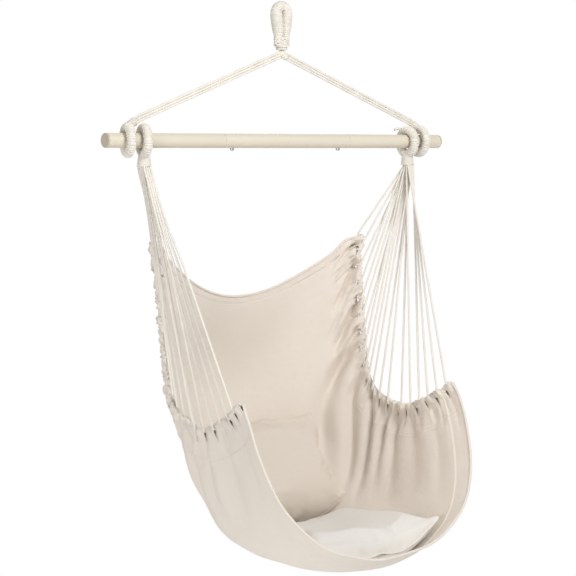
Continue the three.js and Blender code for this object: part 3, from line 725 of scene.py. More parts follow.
@dataclass(frozen=True)
class PowderCoat(Finish):
    """Cream powder coat: satin, with the fine peel of a sprayed coat and faint handling marks."""

    light: tuple = (0.720, 0.655, 0.535)
    deep: tuple = (0.670, 0.607, 0.488)
    peel_scale: float = 620.0
    peel_depth: float = 0.00006
    streak_scale: tuple = (4.0, 90.0, 90.0)
    streak_detail: float = 3.0
    rough_span: tuple = (0.38, 0.58)
    coat: float = 0.1
    coat_roughness: float = 0.4

    def paint(self, nodes: Nodes) -> None:
        """Peel is fine noise; streaks along the tube change its tone and its gloss a little."""
        place = nodes.add("TexCoord").outputs["Object"]
        peel = nodes.noise(place, self.peel_scale, 1.0)
        streaks = nodes.noise(nodes.stretched(place, self.streak_scale), 1.0, self.streak_detail)
        nodes.principled(
            Base_Color=nodes.mixed(streaks, self.deep, self.light),
            Roughness=nodes.ranged(streaks, self.rough_span), Normal=nodes.bump(peel, self.peel_depth),
            Coat_Weight=self.coat, Coat_Roughness=self.coat_roughness)


@dataclass(frozen=True)
class MouldedPlastic(Finish):
    """Moulded plastic with a fine spark-eroded grain."""

    light: tuple = (0.565, 0.486, 0.388)
    deep: tuple = (0.486, 0.418, 0.332)
    grain_scale: float = 1300.0
    grain_depth: float = 0.00004
    tone_scale: float = 60.0
    roughness: float = 0.55

    def paint(self, nodes: Nodes) -> None:
        """Grain is fine noise; broad noise shifts the tone."""
        place = nodes.add("TexCoord").outputs["Object"]
        grain = nodes.noise(place, self.grain_scale, 1.0)
        tone = nodes.mixed(nodes.noise(place, self.tone_scale), self.deep, self.light)
        nodes.principled(
            Base_Color=tone, Roughness=self.roughness, Normal=nodes.bump(grain, self.grain_depth))


@dataclass(frozen=True)
class BrightSteel(Finish):
    """Plated steel with fine turning marks."""

    light: tuple = (0.40, 0.39, 0.38)
    deep: tuple = (0.29, 0.28, 0.27)
    mark_scale: tuple = (300.0, 300.0, 2600.0)
    mark_depth: float = 0.00002
    rough_span: tuple = (0.22, 0.42)

    def paint(self, nodes: Nodes) -> None:
        """Marks are stretched noise, in the roughness and the tone."""
        place = nodes.add("TexCoord").outputs["Object"]
        marks = nodes.noise(nodes.stretched(place, self.mark_scale), 1.0)
        nodes.principled(
            Base_Color=nodes.mixed(marks, self.deep, self.light), Metallic=1.0,
            Roughness=nodes.ranged(marks, self.rough_span), Normal=nodes.bump(marks, self.mark_depth))


ROPE_COTTON = CottonCord("laid_cotton")
THREAD = CottonCord("seam_thread", light=(0.86, 0.83, 0.77), deep=(0.76, 0.72, 0.65))
CANVAS = WovenCotton("sling_canvas")
# Both cushions are of one stuffed cotton. The seat cushion's copy below is painted lighter: painted light,
# for the light that falls on its upper face from above.
CUSHION_COTTON = WovenCotton(
    "stuffed_cotton", light=(0.790, 0.712, 0.628), deep=(0.722, 0.640, 0.552), yarn_pitch=0.0007,
    crumple_scale=30.0, crumple_depth=0.002)
PAINTED_LIGHT_SEAT_COTTON = replace(
    CUSHION_COTTON, name="painted_light_seat_cotton", light=(0.852, 0.824, 0.779), deep=(0.778, 0.740, 0.685))
BAR_PAINT = PowderCoat("cream_powder_coat")
CAP_PLASTIC = MouldedPlastic("moulded_plastic")
STEEL = BrightSteel("bright_steel")


# Camera, light and floor


@dataclass(frozen=True)
class Lamp:
    """One soft square lamp: its name, place, side and power."""

    name: str
    at: tuple
    size: float
    watts: float

    def hang(self, towards: tuple) -> None:
        """Hangs the lamp.

        Args:
            towards: the point that it faces.
        """
        data = bpy.data.lights.new(self.name, "AREA")
        data.size = self.size
        data.energy = self.watts
        made = bpy.data.objects.new(self.name, data)
        made.location = self.at
        made.rotation_mode = "QUATERNION"
        made.rotation_quaternion = (Vector(self.at) - Vector(towards)).to_track_quat("Z", "Y")
        bpy.context.scene.collection.objects.link(made)


@dataclass(frozen=True)
class Studio:
    """A pale floor under plain soft light, and the camera at the photograph's view."""

    camera_at: tuple = (-3.0691, -3.6589, -0.3655)
    yaw: float = 40.113
    pitch: float = 3.324
    roll: float = -0.459
    lens_mm: float = 127.91
    sensor_mm: float = 36.0
    clip_end: float = 60.0
    floor_height: float = -1.75
    floor_radius: float = 1.9
    floor_sides: int = 96
    floor_tone: tuple = (0.93, 0.93, 0.93, 1.0)
    fade_start: float = 0.6
    white: tuple = (1.0, 1.0, 1.0, 1.0)
    sky_strength: float = 0.44
    aim: tuple = (0.0, -0.1, -0.7)
    lamps: tuple = (
        Lamp("key_lamp", (-0.25, -3.2, 1.5), 1.3, 92.0),
        Lamp("left_lamp", (-3.1, -1.2, -1.0), 1.0, 30.0),
        Lamp("back_lamp", (0.4, 3.0, 1.0), 1.8, 34.0),
        Lamp("right_lamp", (3.1, 0.3, -0.9), 1.6, 26.0),
    )

    def camera(self) -> None:
        """Sets the camera by its place, yaw, pitch and roll."""
        yaw, pitch, roll = (math.radians(a) for a in (self.yaw, self.pitch, self.roll))
        ahead = np.array([
            math.sin(yaw) * math.cos(pitch), math.cos(yaw) * math.cos(pitch), -math.sin(pitch)])
        right = np.array([math.cos(yaw), -math.sin(yaw), 0.0])
        up = np.cross(right, ahead)
        turned_right = math.cos(roll) * right + math.sin(roll) * up
        turned_up = math.cos(roll) * up - math.sin(roll) * right
        place = np.eye(4)
        place[:3, :3] = np.stack([turned_right, turned_up, -ahead], axis=1)
        place[:3, 3] = self.camera_at
        data = bpy.data.cameras.new("photo_view")
        data.lens = self.lens_mm
        data.sensor_width = self.sensor_mm
        data.clip_end = self.clip_end
        made = bpy.data.objects.new("photo_view", data)
        made.matrix_world = Matrix(place.tolist())
        bpy.context.scene.collection.objects.link(made)
        bpy.context.scene.camera = made

    def seen(self, nodes: Nodes) -> bpy.types.NodeSocket:
        """Returns 1 for rays that show the background itself, in the camera, in gloss or in glass."""
        rays = nodes.add("LightPath").outputs
        most = nodes.maths("MAXIMUM", rays["Is Camera Ray"], rays["Is Glossy Ray"])
        return nodes.maths("MAXIMUM", most, rays["Is Transmission Ray"])

    def sky(self) -> None:
        """A world that shows white and lights the object softly and evenly."""
        world = bpy.data.worlds.new("soft_room")
        nodes = Nodes(world, "World")
        strength = nodes.ranged(self.seen(nodes), (self.sky_strength, 1.0))
        nodes.end(nodes.add("Background", {"Color": self.white, "Strength": strength}))
        bpy.context.scene.world = world

    def floor(self) -> None:
        """A round floor that takes the chair's shadow and fades to the white room at its rim."""
        angle = whole_turn(self.floor_sides)
        rim = ring(angle, self.floor_radius, self.floor_radius, self.floor_height)
        material = bpy.data.materials.new("pale_floor")
        nodes = Nodes(material)
        flat = nodes.stretched(nodes.add("TexCoord").outputs["Object"], (1.0, 1.0, 0.0))
        reach = nodes.add("VectorMath", {0: flat}, operation="LENGTH").outputs["Value"]
        span = {"Value": reach, "From Min": self.fade_start, "From Max": self.floor_radius}
        fade = nodes.add("MapRange", span, interpolation_type="SMOOTHSTEP").outputs[0]
        share = nodes.maths("MULTIPLY", fade, self.seen(nodes))
        matt = nodes.add("BsdfDiffuse", {"Color": self.floor_tone}).outputs[0]
        white = nodes.add("Emission", {"Color": self.white, "Strength": 1.0}).outputs[0]
        nodes.end(nodes.add("MixShader", {0: share, 1: matt, 2: white}))
        mesh = bpy.data.meshes.new("floor")
        mesh.from_pydata(rim.tolist(), [], [list(range(self.floor_sides))])
        mesh.materials.append(material)
        made = bpy.data.objects.new("floor", mesh)
        bpy.context.scene.collection.objects.link(made)

    def build(self) -> None:
        """Sets camera, sky, lamps and floor."""
        self.camera()
        self.sky()
        for lamp in self.lamps:
            lamp.hang(self.aim)
        self.floor()
        bpy.context.scene.view_settings.view_transform = "Standard"


# Joining, cutting and winding


def apply_modifiers(made: bpy.types.Object) -> None:
    """Puts an object's modified shape into its mesh and clears its modifiers.

    Args:
        made: the object.
    """
    graph = bpy.context.evaluated_depsgraph_get()
    graph.update()
    final = bpy.data.meshes.new_from_object(made.evaluated_get(graph), depsgraph=graph)
    old = made.data
    made.modifiers.clear()
    made.data = final
    bpy.data.meshes.remove(old)


def moved(surface: Surface, at: Array, direction: Array = (0.0, 0.0, 1.0)) -> Surface:
    """A surface made along +Z, turned to a direction and moved to a place.

    Args:
        surface: the surface, about the Z axis.
        at: where its origin goes.
        direction: unit direction that its +Z goes to.

    Returns:
        The surface, turned by the least turn that does it.
    """
    turn = np.array(Vector((0.0, 0.0, 1.0)).rotation_difference(Vector(direction)).to_matrix())
    surface.points = surface.points @ turn.T + np.asarray(at, float)
    return surface


def roped(shape: Surface, name: str, body: Body, *nodes: str) -> bpy.types.Object:
    """Makes and dresses a piece of cotton rope or cord."""
    return dress(shape.build(name, ROPE_COTTON), body, Slot.ROPE, *nodes)


@dataclass(frozen=True)
class EyeLine:
    """The centre line of an eye: an ellipse, whose share 0 is the throat that the cords leave."""

    centre: Array
    across: Array
    up: Array
    half_width: float
    half_height: float

    def points(self, shares: Array) -> Array:
        """Returns centre + across w sin(2 pi share) - up h cos(2 pi share)."""
        angle = 2.0 * np.pi * np.asarray(shares, float)[..., None]
        return (self.centre + self.across * self.half_width * np.sin(angle)
                - self.up * self.half_height * np.cos(angle))

    def normal(self) -> Array:
        """Returns the unit direction square to the eye's plane."""
        return np.cross(self.across, self.up)


@dataclass(frozen=True)
class BeltLine:
    """The centre line of the hanging loop: a belt round two circles, share 0 at its lowest point."""

    top: float
    top_radius: float
    end_radius: float
    height: float

    def points(self, shares: Array) -> Array:
        """An arc round the end circle, a straight leg, an arc round the top circle, and their mirror.

        Args:
            shares: places along the belt, from 0 to 1.

        Returns:
            The points, in the XZ plane.
        """
        between = self.height - self.top_radius - self.end_radius
        lean = math.asin((self.top_radius - self.end_radius) / between)
        end_centre = self.top - self.height + self.end_radius
        top_centre = self.top - self.top_radius
        end_arc = self.end_radius * (math.pi / 2.0 - lean)
        leg = math.sqrt(between ** 2 - (self.top_radius - self.end_radius) ** 2)
        half = end_arc + leg + self.top_radius * (math.pi / 2.0 + lean)
        length = 2.0 * half * (np.asarray(shares, float) % 1.0)
        mirrored = length > half
        length = np.where(mirrored, 2.0 * half - length, length)
        turn = math.pi / 2.0 - lean
        low = length / self.end_radius
        along = length - end_arc
        high = turn + (along - leg) / self.top_radius
        x = np.select(
            [length < end_arc, length < end_arc + leg],
            [self.end_radius * np.sin(low), self.end_radius * math.sin(turn) + along * math.sin(lean)],
            self.top_radius * np.sin(high))
        z = np.select(
            [length < end_arc, length < end_arc + leg],
            [end_centre - self.end_radius * np.cos(low),
             end_centre - self.end_radius * math.cos(turn) + along * math.cos(lean)],
            top_centre - self.top_radius * np.cos(high))
        return np.stack([np.where(mirrored, -x, x), np.zeros_like(x), z], axis=-1)

    def normal(self) -> Array:
        """Returns the unit direction square to the loop's plane."""
        return np.array([0.0, -1.0, 0.0])


@dataclass(frozen=True)
class Winding:
    """One cord wound round a centre line, side by side with itself.

    The cord's centre is the line's point + reach (cos a out + sin a normal), where a grows by a full
    turn from one turn to the next. The cord is as thick at each place as the turns there are apart,
    so the turns lie thick on the outside of a bend and thin on its inside.
    """

    bundle: Callable[[Array], Array]
    turns: int
    steps: int = 20
    sides: int = 8
    close_share: float = 0.985
    first_radius: float = 0.0014
    start_share: float = 0.03
    jitter: float = 0.0
    slow_wander: float = 0.37
    quick_wander: float = 0.83
    smoothed: int = 5
    core_share: float = 0.9
    core_steps: int = 72
    core_sides: int = 32

    def cord(self, line: EyeLine | BeltLine) -> Surface:
        """The wound cord, each of whose turns may lie off its even place by the jitter, in widths.

        Args:
            line: the centre line that it is wound round.

        Returns:
            The cord, its ends closed.
        """
        count = self.turns * self.steps
        i = np.arange(count + 1)
        turn = 2.0 * np.pi * i / self.steps
        wander = np.sin(self.slow_wander * turn + 1.0) + np.sin(self.quick_wander * turn)
        shares = lerp(self.start_share, 1.0 - self.start_share, i / count)
        shares += self.jitter * wander / (2.0 * self.turns)
        at = line.points(shares)
        ahead = line.points(shares + SMALL_STEP) - line.points(shares - SMALL_STEP)
        out = unit(np.cross(ahead, line.normal()))
        way = out * np.cos(turn)[:, None] + line.normal() * np.sin(turn)[:, None]
        bundle = self.bundle(shares)
        middle = at + way * (bundle - self.first_radius)[:, None]
        apart = np.linalg.norm(middle[self.steps:] - middle[:-self.steps], axis=1)
        before = np.concatenate([apart[:1].repeat(self.steps), apart])
        after = np.concatenate([apart, apart[-1:].repeat(self.steps)])
        radius = np.minimum(before, after) / 2.0 * self.close_share
        even = np.full(self.smoothed, 1.0 / self.smoothed)
        radius = np.convolve(np.pad(radius, self.smoothed // 2, "edge"), even, "valid")
        centres = at + way * (bundle - radius)[:, None]
        return carried(centres, radius, self.sides)

    def core(self, line: EyeLine | BeltLine) -> Surface:
        """Returns the closed core that the cord lies on."""
        shares = np.arange(self.core_steps) / self.core_steps
        radius = self.bundle(shares) - self.core_share * self.first_radius
        return carried(line.points(shares), radius, self.core_sides, closed=True)


@dataclass(frozen=True)
class Whipping:
    """A sleeve of whipping: turns of cord packed side by side round an axis, over a solid core."""

    cord_radius: float
    jitter: float = 0.0
    pitch_share: float = 1.94
    steps: int = 40
    sides: int = 8
    bite_share: float = 0.35
    tilt_share: float = 0.35
    reach_wander: float = 2.4
    tilt_wander: float = 1.7
    core_inset: float = 0.3
    core_sides: int = 48

    def sleeve(self, at: Array, direction: Array, length: float, first: float, last: float) -> Surface:
        """A stack of turns from a place along an axis, as uneven as the jitter, in cord radii.

        Turn k is a circle of its own radius, tilted a little by its own amount: its height is
        z_k + tilt_k sin(a + k).

        Args:
            at: the middle of the sleeve's first face.
            direction: unit direction of the axis.
            length: the sleeve's length.
            first: outer radius at the start.
            last: outer radius at the end.

        Returns:
            The turns and the core under them.
        """
        r = self.cord_radius
        count = max(int(round((length - 2.0 * r) / (self.pitch_share * r))) + 1, 2)
        angle = whole_turn(self.steps)
        inset = (2.0 - self.bite_share) * r
        low, high = self.core_inset * r, length - self.core_inset * r
        outline = [[low, first - inset], [high, last - inset], [high, TINY], [low, TINY]]
        parts = [spun(outline, self.core_sides, "z")]
        for k in range(count):
            share = k / (count - 1)
            loose = 0.0 if k in (0, count - 1) else self.jitter
            reach = lerp(first, last, share) - r * (1.0 + loose * (1.0 + math.sin(self.reach_wander * k)))
            tilt = loose * self.tilt_share * r * math.sin(self.tilt_wander * k)
            height = lerp(r, length - r, share) + tilt * np.sin(angle + k)
            parts.append(carried(ring(angle, reach, reach, height), r, self.sides, closed=True))
        return moved(merged(parts), at, direction)


# Spreader bar


@dataclass(frozen=True)
class SpreaderBar:
    """The three-piece bar: a middle tube over the spigots of two side tubes, with sprung buttons."""

    length: float = 2.0 * BAR_HALF
    radius: float = BAR_RADIUS
    wall: float = 0.0014
    seam_left: float = 0.178
    seam_right: float = 0.200
    spigot_length: float = 0.048
    spigot_step: float = 0.002
    rim_round: float = 0.0013
    cap_lip: float = 0.003
    cap_round: float = 0.0022
    cap_plug_length: float = 0.018
    button_inset: float = 0.028
    button_radius: float = 0.005
    button_proud: float = 0.006
    button_dome: float = 0.0024
    button_length: float = 0.013
    hole_radius: float = 0.00535
    press: float = 0.006
    leaf_thickness: float = 0.0008
    leaf_width: float = 0.0070
    leaf_length: float = 0.030
    leaf_bend: float = 0.007
    leaf_step: float = 0.0007
    sides: int = 96
    round_steps: int = 6
    sharp_angle: float = 35.0
    steel_sharp_angle: float = 40.0

    def rims(self, low: float, high: float) -> list[list[float]]:
        """Returns the outer line of a tube from its left rim to its right one, with both rolled."""
        r = self.rim_round
        near = arc((low + r, self.radius - r), r, 180.0, 90.0, self.round_steps)
        far = arc((high - r, self.radius - r), r, 90.0, 0.0, self.round_steps)
        return near + far

    def middle(self) -> Surface:
        """Returns the middle tube."""
        bore = self.radius - self.wall
        rims = self.rims(-self.seam_left, self.seam_right)
        return spun(rims + [[self.seam_right, bore], [-self.seam_left, bore]], self.sides, "x")

    def side_tube(self, side: float, seam: float) -> Surface:
        """A side tube, whose spigot slides into the middle tube.

        Args:
            side: -1 for the left one, 1 for the right one.
            seam: how far its seam lies from the middle.

        Returns:
            The tube.
        """
        bore = self.radius - self.wall
        spigot = bore - FIT_GAP
        spigot_bore = spigot - self.wall
        shoulder = seam + FIT_GAP
        end = self.length / 2.0
        tip = seam - self.spigot_length
        outline = [[tip, spigot_bore], [tip, spigot], [shoulder, spigot]]
        outline += self.rims(shoulder, end)
        outline += [[end, bore], [shoulder + 2.0 * self.spigot_step, bore]]
        outline += [[shoulder + self.spigot_step, spigot_bore]]
        outline = np.array(outline) * [side, 1.0]
        return spun(outline if side > 0 else outline[::-1], self.sides, "x")

    def cap(self, side: float) -> Surface:
        """The end cap of one side, with a rounded lip.

        Args:
            side: -1 for the left one, 1 for the right one.

        Returns:
            The cap and its plug.
        """
        plug = self.radius - self.wall - FIT_GAP
        face = self.length / 2.0 + FIT_GAP
        r = self.cap_round
        lip = arc((face + self.cap_lip - r, self.radius - r), r, 90.0, 0.0, 2 * self.round_steps)
        outline = [[face - self.cap_plug_length, TINY], [face - self.cap_plug_length, plug],
                   [face, plug], [face, self.radius]]
        outline = np.array(outline + lip + [[face + self.cap_lip, TINY]]) * [side, 1.0]
        return spun(outline if side > 0 else outline[::-1], self.sides, "x")

    def button(self) -> Surface:
        """Returns a snap button with a domed head, its axis on Z and the bar's axis at the origin."""
        tip = -(self.radius + self.button_proud)
        top = tip + self.button_length
        head = domed(tip + self.button_dome, self.button_dome, self.button_radius, 0.0,
                     2 * self.round_steps)
        return spun(head + [[top, self.button_radius], [top, TINY]], self.sides // 2, "z")

    def leaf_ends(self) -> tuple[float, float]:
        """Returns the heights, from the bar's axis, of the button's back and the roof over its spring."""
        spigot_bore = self.radius - 2.0 * self.wall - FIT_GAP
        roof = math.sqrt(spigot_bore ** 2 - (self.leaf_width / 2.0) ** 2) - FIT_GAP
        return -(self.radius + self.button_proud) + self.button_length + FIT_GAP, roof

    def leaf(self, side: float) -> Surface:
        """A folded leaf spring: a flat strip carried along its bent middle line in the XZ plane.

        Args:
            side: -1 where its bend points left, 1 where it points right.

        Returns:
            The strip, its ends closed, with the button's axis at the origin.
        """
        low, roof = self.leaf_ends()
        half = self.leaf_thickness / 2.0
        edge, bend = self.button_radius, self.leaf_length - half
        corners = np.array([
            [-edge, 0.0, low + half], [edge, 0.0, low + half], [bend, 0.0, (low + roof) / 2.0],
            [edge, 0.0, roof - half], [-edge, 0.0, roof - half]])
        path = rounded(corners, self.leaf_step, self.leaf_bend) * [side, 1.0, 1.0]
        along = path_tangents(path, False)
        up = np.cross(along, (0.0, 1.0, 0.0)) * half
        wide = np.array([0.0, self.leaf_width / 2.0, 0.0])
        rings = np.stack([path + up + wide, path - up + wide, path - up - wide, path + up - wide], axis=1)
        caps = (np.arange(4)[::-1], (len(path) - 1) * 4 + np.arange(4))
        return Surface(rings.reshape(-1, 3), grid_faces(len(path), 4, wrap_columns=True), None, caps)

    def drill(self, made: bpy.types.Object, places: tuple[float, ...]) -> None:
        """Cuts round button holes through the lower wall, each with a Boolean that is then applied.

        Args:
            made: the tube.
            places: the holes' places along the bar.
        """
        deep = 2.0 * self.radius
        outline = [[-deep, TINY], [-deep, self.hole_radius], [0.0, self.hole_radius], [0.0, TINY]]
        for x in places:
            shape = moved(spun(outline, self.sides // 2, "z"), (x, 0.0, -BAR_DROP))
            cutter = welded(shape.build("cutter", BAR_PAINT))
            cut = made.modifiers.new("hole", "BOOLEAN")
            cut.object = cutter
            cut.operation = "DIFFERENCE"
            cut.solver = "EXACT"
            apply_modifiers(made)
            bpy.data.objects.remove(cutter)

    def piece(self, shape: Surface, x: float, name: str, finish: Finish) -> bpy.types.Object:
        """Returns a welded piece of the bar, moved to a place along it."""
        return welded(moved(shape, (x, 0.0, -BAR_DROP)).build(name, finish))

    def build(self) -> None:
        """Makes tubes, caps, buttons and the leaf springs that the buttons squash."""
        left = self.button_inset - self.seam_left
        right = self.seam_right - self.button_inset
        tubes = [("middle_tube", self.middle(), (left, right)),
                 ("left_tube", self.side_tube(-1.0, self.seam_left), (left,)),
                 ("right_tube", self.side_tube(1.0, self.seam_right), (right,))]
        for name, shape, places in tubes:
            made = self.piece(shape, 0.0, f"painted_{name}", BAR_PAINT)
            self.drill(made, places)
            dress(by_angle(made, self.sharp_angle), Body.BAR, Slot.PAINT, f"bar_{name}")
        for word, side in SIDES.items():
            made = self.piece(self.cap(side), 0.0, f"moulded_{word}_cap", CAP_PLASTIC)
            dress(by_angle(made, self.sharp_angle), Body.BAR, Slot.PLASTIC, f"bar_{word}_cap")
        for word, x, body in (("left", left, Body.LEFT_BUTTON), ("right", right, Body.RIGHT_BUTTON)):
            made = self.piece(self.button(), x, f"domed_button_{word}", STEEL)
            dress(by_angle(made, self.steel_sharp_angle), body, Slot.STEEL, f"snap_button_{word}")
            spring = self.piece(self.leaf(SIDES[word]), x, f"leaf_spring_{word}", STEEL)
            dress(by_angle(spring, self.steel_sharp_angle), Body.BAR, Slot.STEEL, f"button_spring_{word}")
            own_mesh(spring)


# Hanging eye, neck and knot


@dataclass(frozen=True)
class HangingEye:
    """The wound loop that takes the hook, its neck of whipping, the swivel band and the knot."""

    bundle: float = 0.01214
    leg_bundle: float = 0.0148
    foot_bundle: float = 0.0102
    top_radius: float = 0.0158
    end_radius: float = 0.0088
    foot_share: float = 0.26
    crown_share: float = 0.30
    height: float = 0.082
    turns: int = 62
    heart_steps: int = 96
    jitter: float = 0.25
    neck_radius: float = 0.017
    neck_end_radius: float = 0.015
    neck_length: float = 0.014
    neck_cord: float = 0.0013
    neck_jitter: float = 0.3
    band_radius: float = 0.014
    band_height: float = 0.005
    band_cord: float = 0.00125
    knot_radius: float = 0.0092
    knot_strand: float = 0.0031
    knot_turns: tuple = (
        (0.5, 0.3, 0.22), (0.5, 0.3, -0.42), (-0.9, 1.2, 0.1), (1.35, 2.1, -0.2), (0.1, 1.7, 0.35))
    knot_skew: float = 0.1
    knot_sides: int = 12
    ball_share: float = 0.86
    ball_rings: int = 16
    ball_sides: int = 32
    lobe_share: float = 0.88
    lobe_at: tuple = (0.0025, -0.0078, -0.0066)
    skirt_radius: float = 0.0060
    skirt_cord: float = 0.0009
    skirt_rise: float = 0.0092
    skirt_sides: int = 10
    circle_steps: int = 64
    lashing_radius: float = 0.0021
    lashing_rises: tuple = (-0.0040, 0.0015, 0.0070)
    lashing_tilt: float = 0.50
    lashing_ease: float = 0.25
    lashing_wide: float = 0.3
    lashing_deep: tuple = (0.2, 0.7)
    lashing_steps: int = 72
    lashing_sides: int = 9

    def line(self) -> BeltLine:
        """Returns the loop's centre line."""
        return BeltLine(self.bundle, self.top_radius, self.end_radius, self.height)

    def thickness(self, shares: Array) -> Array:
        """The wound bundle's radius: full in the legs, and slimmer at crown and foot.

        Args:
            shares: places along the loop.

        Returns:
            A radius for each.
        """
        low = np.minimum(shares % 1.0, 1.0 - shares % 1.0)
        foot = 1.0 - ease(low / self.foot_share)
        crown = ease((low - self.crown_share) / (0.5 - self.crown_share))
        return self.leg_bundle + (self.foot_bundle - self.leg_bundle) * foot + (
            self.bundle - self.leg_bundle) * crown

    def throat(self) -> float:
        """Returns the height of the loop's lowest centre point."""
        return self.bundle - self.height

    def neck_end(self) -> float:
        """Returns the height of the whipping's lower face, with its clearance."""
        return self.throat() - self.neck_length - FIT_GAP

    def knot_centre(self) -> Array:
        """Returns the middle of the knot."""
        return np.array([0.0, 0.0, self.neck_end() - self.band_height - FIT_GAP - self.knot_radius])

    def lashing(self) -> Surface:
        """Slanting turns that cross over both legs just above the neck.

        Each turn is the ellipse (w cos t, d sin t) about the Z axis, whose height is
        slope * w * cos t * sin t.

        Returns:
            Two turns at each rise, one slanting each way.
        """
        angle = whole_turn(self.lashing_steps)
        r = self.lashing_radius
        wide = self.end_radius + self.foot_bundle + self.lashing_wide * r
        turns = []
        for i, rise in enumerate(self.lashing_rises):
            for way, share in zip((-1.0, 1.0), self.lashing_deep):
                slope = way * self.lashing_tilt * (1.0 - self.lashing_ease * i)
                height = self.throat() + rise + slope * wide * np.cos(angle) * np.sin(angle)
                path = ring(angle, wide, self.foot_bundle + r * share, height)
                turns.append(carried(path, r, self.lashing_sides, closed=True))
        return merged(turns)

    def knot(self) -> Surface:
        """A round knot: turns of cord crossed over each other on a ball.

        Each turn is a circle on the ball, square to a direction with its own lean and turn about the
        Z axis, and shifted along that direction.

        Returns:
            The ball and its turns.
        """
        angle = whole_turn(self.circle_steps)[:, None]
        reach = self.knot_radius - self.knot_strand
        ball = self.ball_share * self.knot_radius
        parts = [spun(domed(0.0, ball, ball, 90.0, self.ball_rings), self.ball_sides, "z")]
        for k, (lean, turn, shift) in enumerate(self.knot_turns):
            tilt = math.sin(lean)
            normal = np.array([tilt * math.cos(turn), tilt * math.sin(turn), math.cos(lean)])
            first = unit(np.cross(normal, (0.0, 1.0, self.knot_skew * (k + 1))))
            second = np.cross(normal, first)
            away = reach * shift
            around = math.sqrt(reach * reach - away * away)
            path = normal * away + around * (np.cos(angle) * first + np.sin(angle) * second)
            parts.append(carried(path, self.knot_strand, self.knot_sides, closed=True))
        return moved(merged(parts), self.knot_centre())

    def lobe(self) -> Surface:
        """Returns the knot's second bight, smaller and in front of it, which swings with the ropes."""
        bight = self.knot()
        centre = self.knot_centre()
        bight.points = (bight.points - centre) * self.lobe_share + centre + np.array(self.lobe_at)
        return bight

    def skirt(self) -> Surface:
        """Returns one closed turn of cord in the notch between band and knot, clear of its swing."""
        path = ring(whole_turn(self.circle_steps), self.skirt_radius, self.skirt_radius, 0.0)
        at = self.knot_centre() + np.array([0.0, 0.0, self.skirt_rise])
        return carried(path + at, self.skirt_cord, self.skirt_sides, closed=True)

    def build(self) -> None:
        """Makes loop, lashing, neck, band and knot."""
        line = self.line()
        down = (0.0, 0.0, -1.0)
        winding = Winding(self.thickness, self.turns, jitter=self.jitter, core_steps=self.heart_steps)
        roped(winding.core(line), "loop_heart", Body.HANGING_EYE, "hanging_eye_core")
        roped(winding.cord(line), "loop_winding", Body.HANGING_EYE, "hanging_eye_wrap")
        roped(self.lashing(), "loop_lashing", Body.HANGING_EYE)
        neck = Whipping(self.neck_cord, self.neck_jitter).sleeve(
            (0.0, 0.0, self.throat()), down, self.neck_length, self.neck_radius, self.neck_end_radius)
        roped(neck, "neck_turns", Body.HANGING_EYE, "neck_whipping")
        band = Whipping(self.band_cord).sleeve(
            (0.0, 0.0, self.neck_end()), down, self.band_height, self.band_radius, self.band_radius)
        roped(band.joined(self.skirt()), "band_turns", Body.NECK_SWIVEL, "neck_swivel_band")
        welded(roped(self.knot(), "tied_knot", Body.NECK_SWAY, "neck_knot"))
        welded(roped(self.lobe(), "knot_bight", Body.SUSPENSION))


# Eyes on the bar, with their collars


@dataclass(frozen=True)
class BarEye:
    """One wound eye round the bar, its collar, and the face that its cords leave."""

    name: str
    x: float
    yaw: float
    rise: float
    direction: tuple
    collar_start: float
    collar_end: float
    collar_length: float
    bundle: float = 0.01101
    bore: float = 0.018
    turns: int = 42
    first_radius: float = 0.0021
    start_share: float = 0.035
    jitter: float = 0.35
    collar_cord: float = 0.0013
    collar_jitter: float = 0.3
    tail_radius: float = 0.0032
    tail_length: float = 0.026
    tail_at: float = 0.60
    tail_lift: float = 0.6
    tail_way: tuple = (-1.0, -0.25, 0.42)
    tail_droop: float = 0.010
    tail_fray: float = 0.12
    tail_steps: int = 14
    tail_sides: int = 15
    tail_lay: Lay = Lay(3, 0.017, 0.2)

    def line(self) -> EyeLine:
        """Returns the eye's centre line."""
        turn = math.radians(self.yaw)
        across = np.array([-math.sin(turn), -math.cos(turn), 0.0])
        height = self.bore + self.bundle
        slack = self.bore - BAR_RADIUS - FIT_GAP
        centre = np.array([self.x, 0.0, self.rise * slack - BAR_DROP])
        up = np.array([0.0, 0.0, -self.rise])
        return EyeLine(centre, across, up, height / math.cos(turn), height)

    def throat(self) -> Array:
        """Returns the point of the centre line where the cords leave."""
        return self.line().points(np.array(0.0))

    def face(self) -> Array:
        """Returns the middle of the collar's face, with its clearance."""
        return self.throat() + np.array(self.direction) * (self.collar_length + FIT_GAP)

    def tail(self) -> Surface:
        """The free end of the winding's cord, tucked under it and standing off its rim.

        Returns:
            The cord, whose way out is given as parts along X, across the eye and up it.
        """
        line = self.line()
        root = line.points(np.array(self.tail_at)) + line.up * self.tail_lift * self.bundle
        left, across, up = self.tail_way
        way = unit(line.across * across + line.up * up + np.array([left, 0.0, 0.0]))
        share = np.linspace(0.0, 1.0, self.tail_steps)[:, None]
        path = root + way * self.tail_length * share - line.up * self.tail_droop * share ** 2
        frayed = self.tail_radius * (1.0 + self.tail_fray * share[:, 0] ** 3)
        return carried(path, frayed, self.tail_sides, self.tail_lay)

    def build(self, body: Body, eye: str, collar: str, tailed: bool = False) -> None:
        """Makes core, winding and collar.

        Args:
            body: the body that they move with.
            eye: the start of the names of the eye's nodes.
            collar: the collar's node.
            tailed: whether the winding's end stands off the eye.
        """
        winding = Winding(
            lambda shares: np.full(shares.shape, self.bundle), self.turns, jitter=self.jitter,
            first_radius=self.first_radius, start_share=self.start_share)
        line = self.line()
        if tailed:
            roped(self.tail(), f"{self.name}_cord_end", body)
        roped(winding.core(line), f"{self.name}_heart", body, f"{eye}_core")
        roped(winding.cord(line), f"{self.name}_winding", body, f"{eye}_wrap")
        sleeve = Whipping(self.collar_cord, self.collar_jitter).sleeve(
            self.throat(), self.direction, self.collar_length, self.collar_start, self.collar_end)
        roped(sleeve, f"{self.name}_sleeve", body, collar)


# Ropes up to the knot


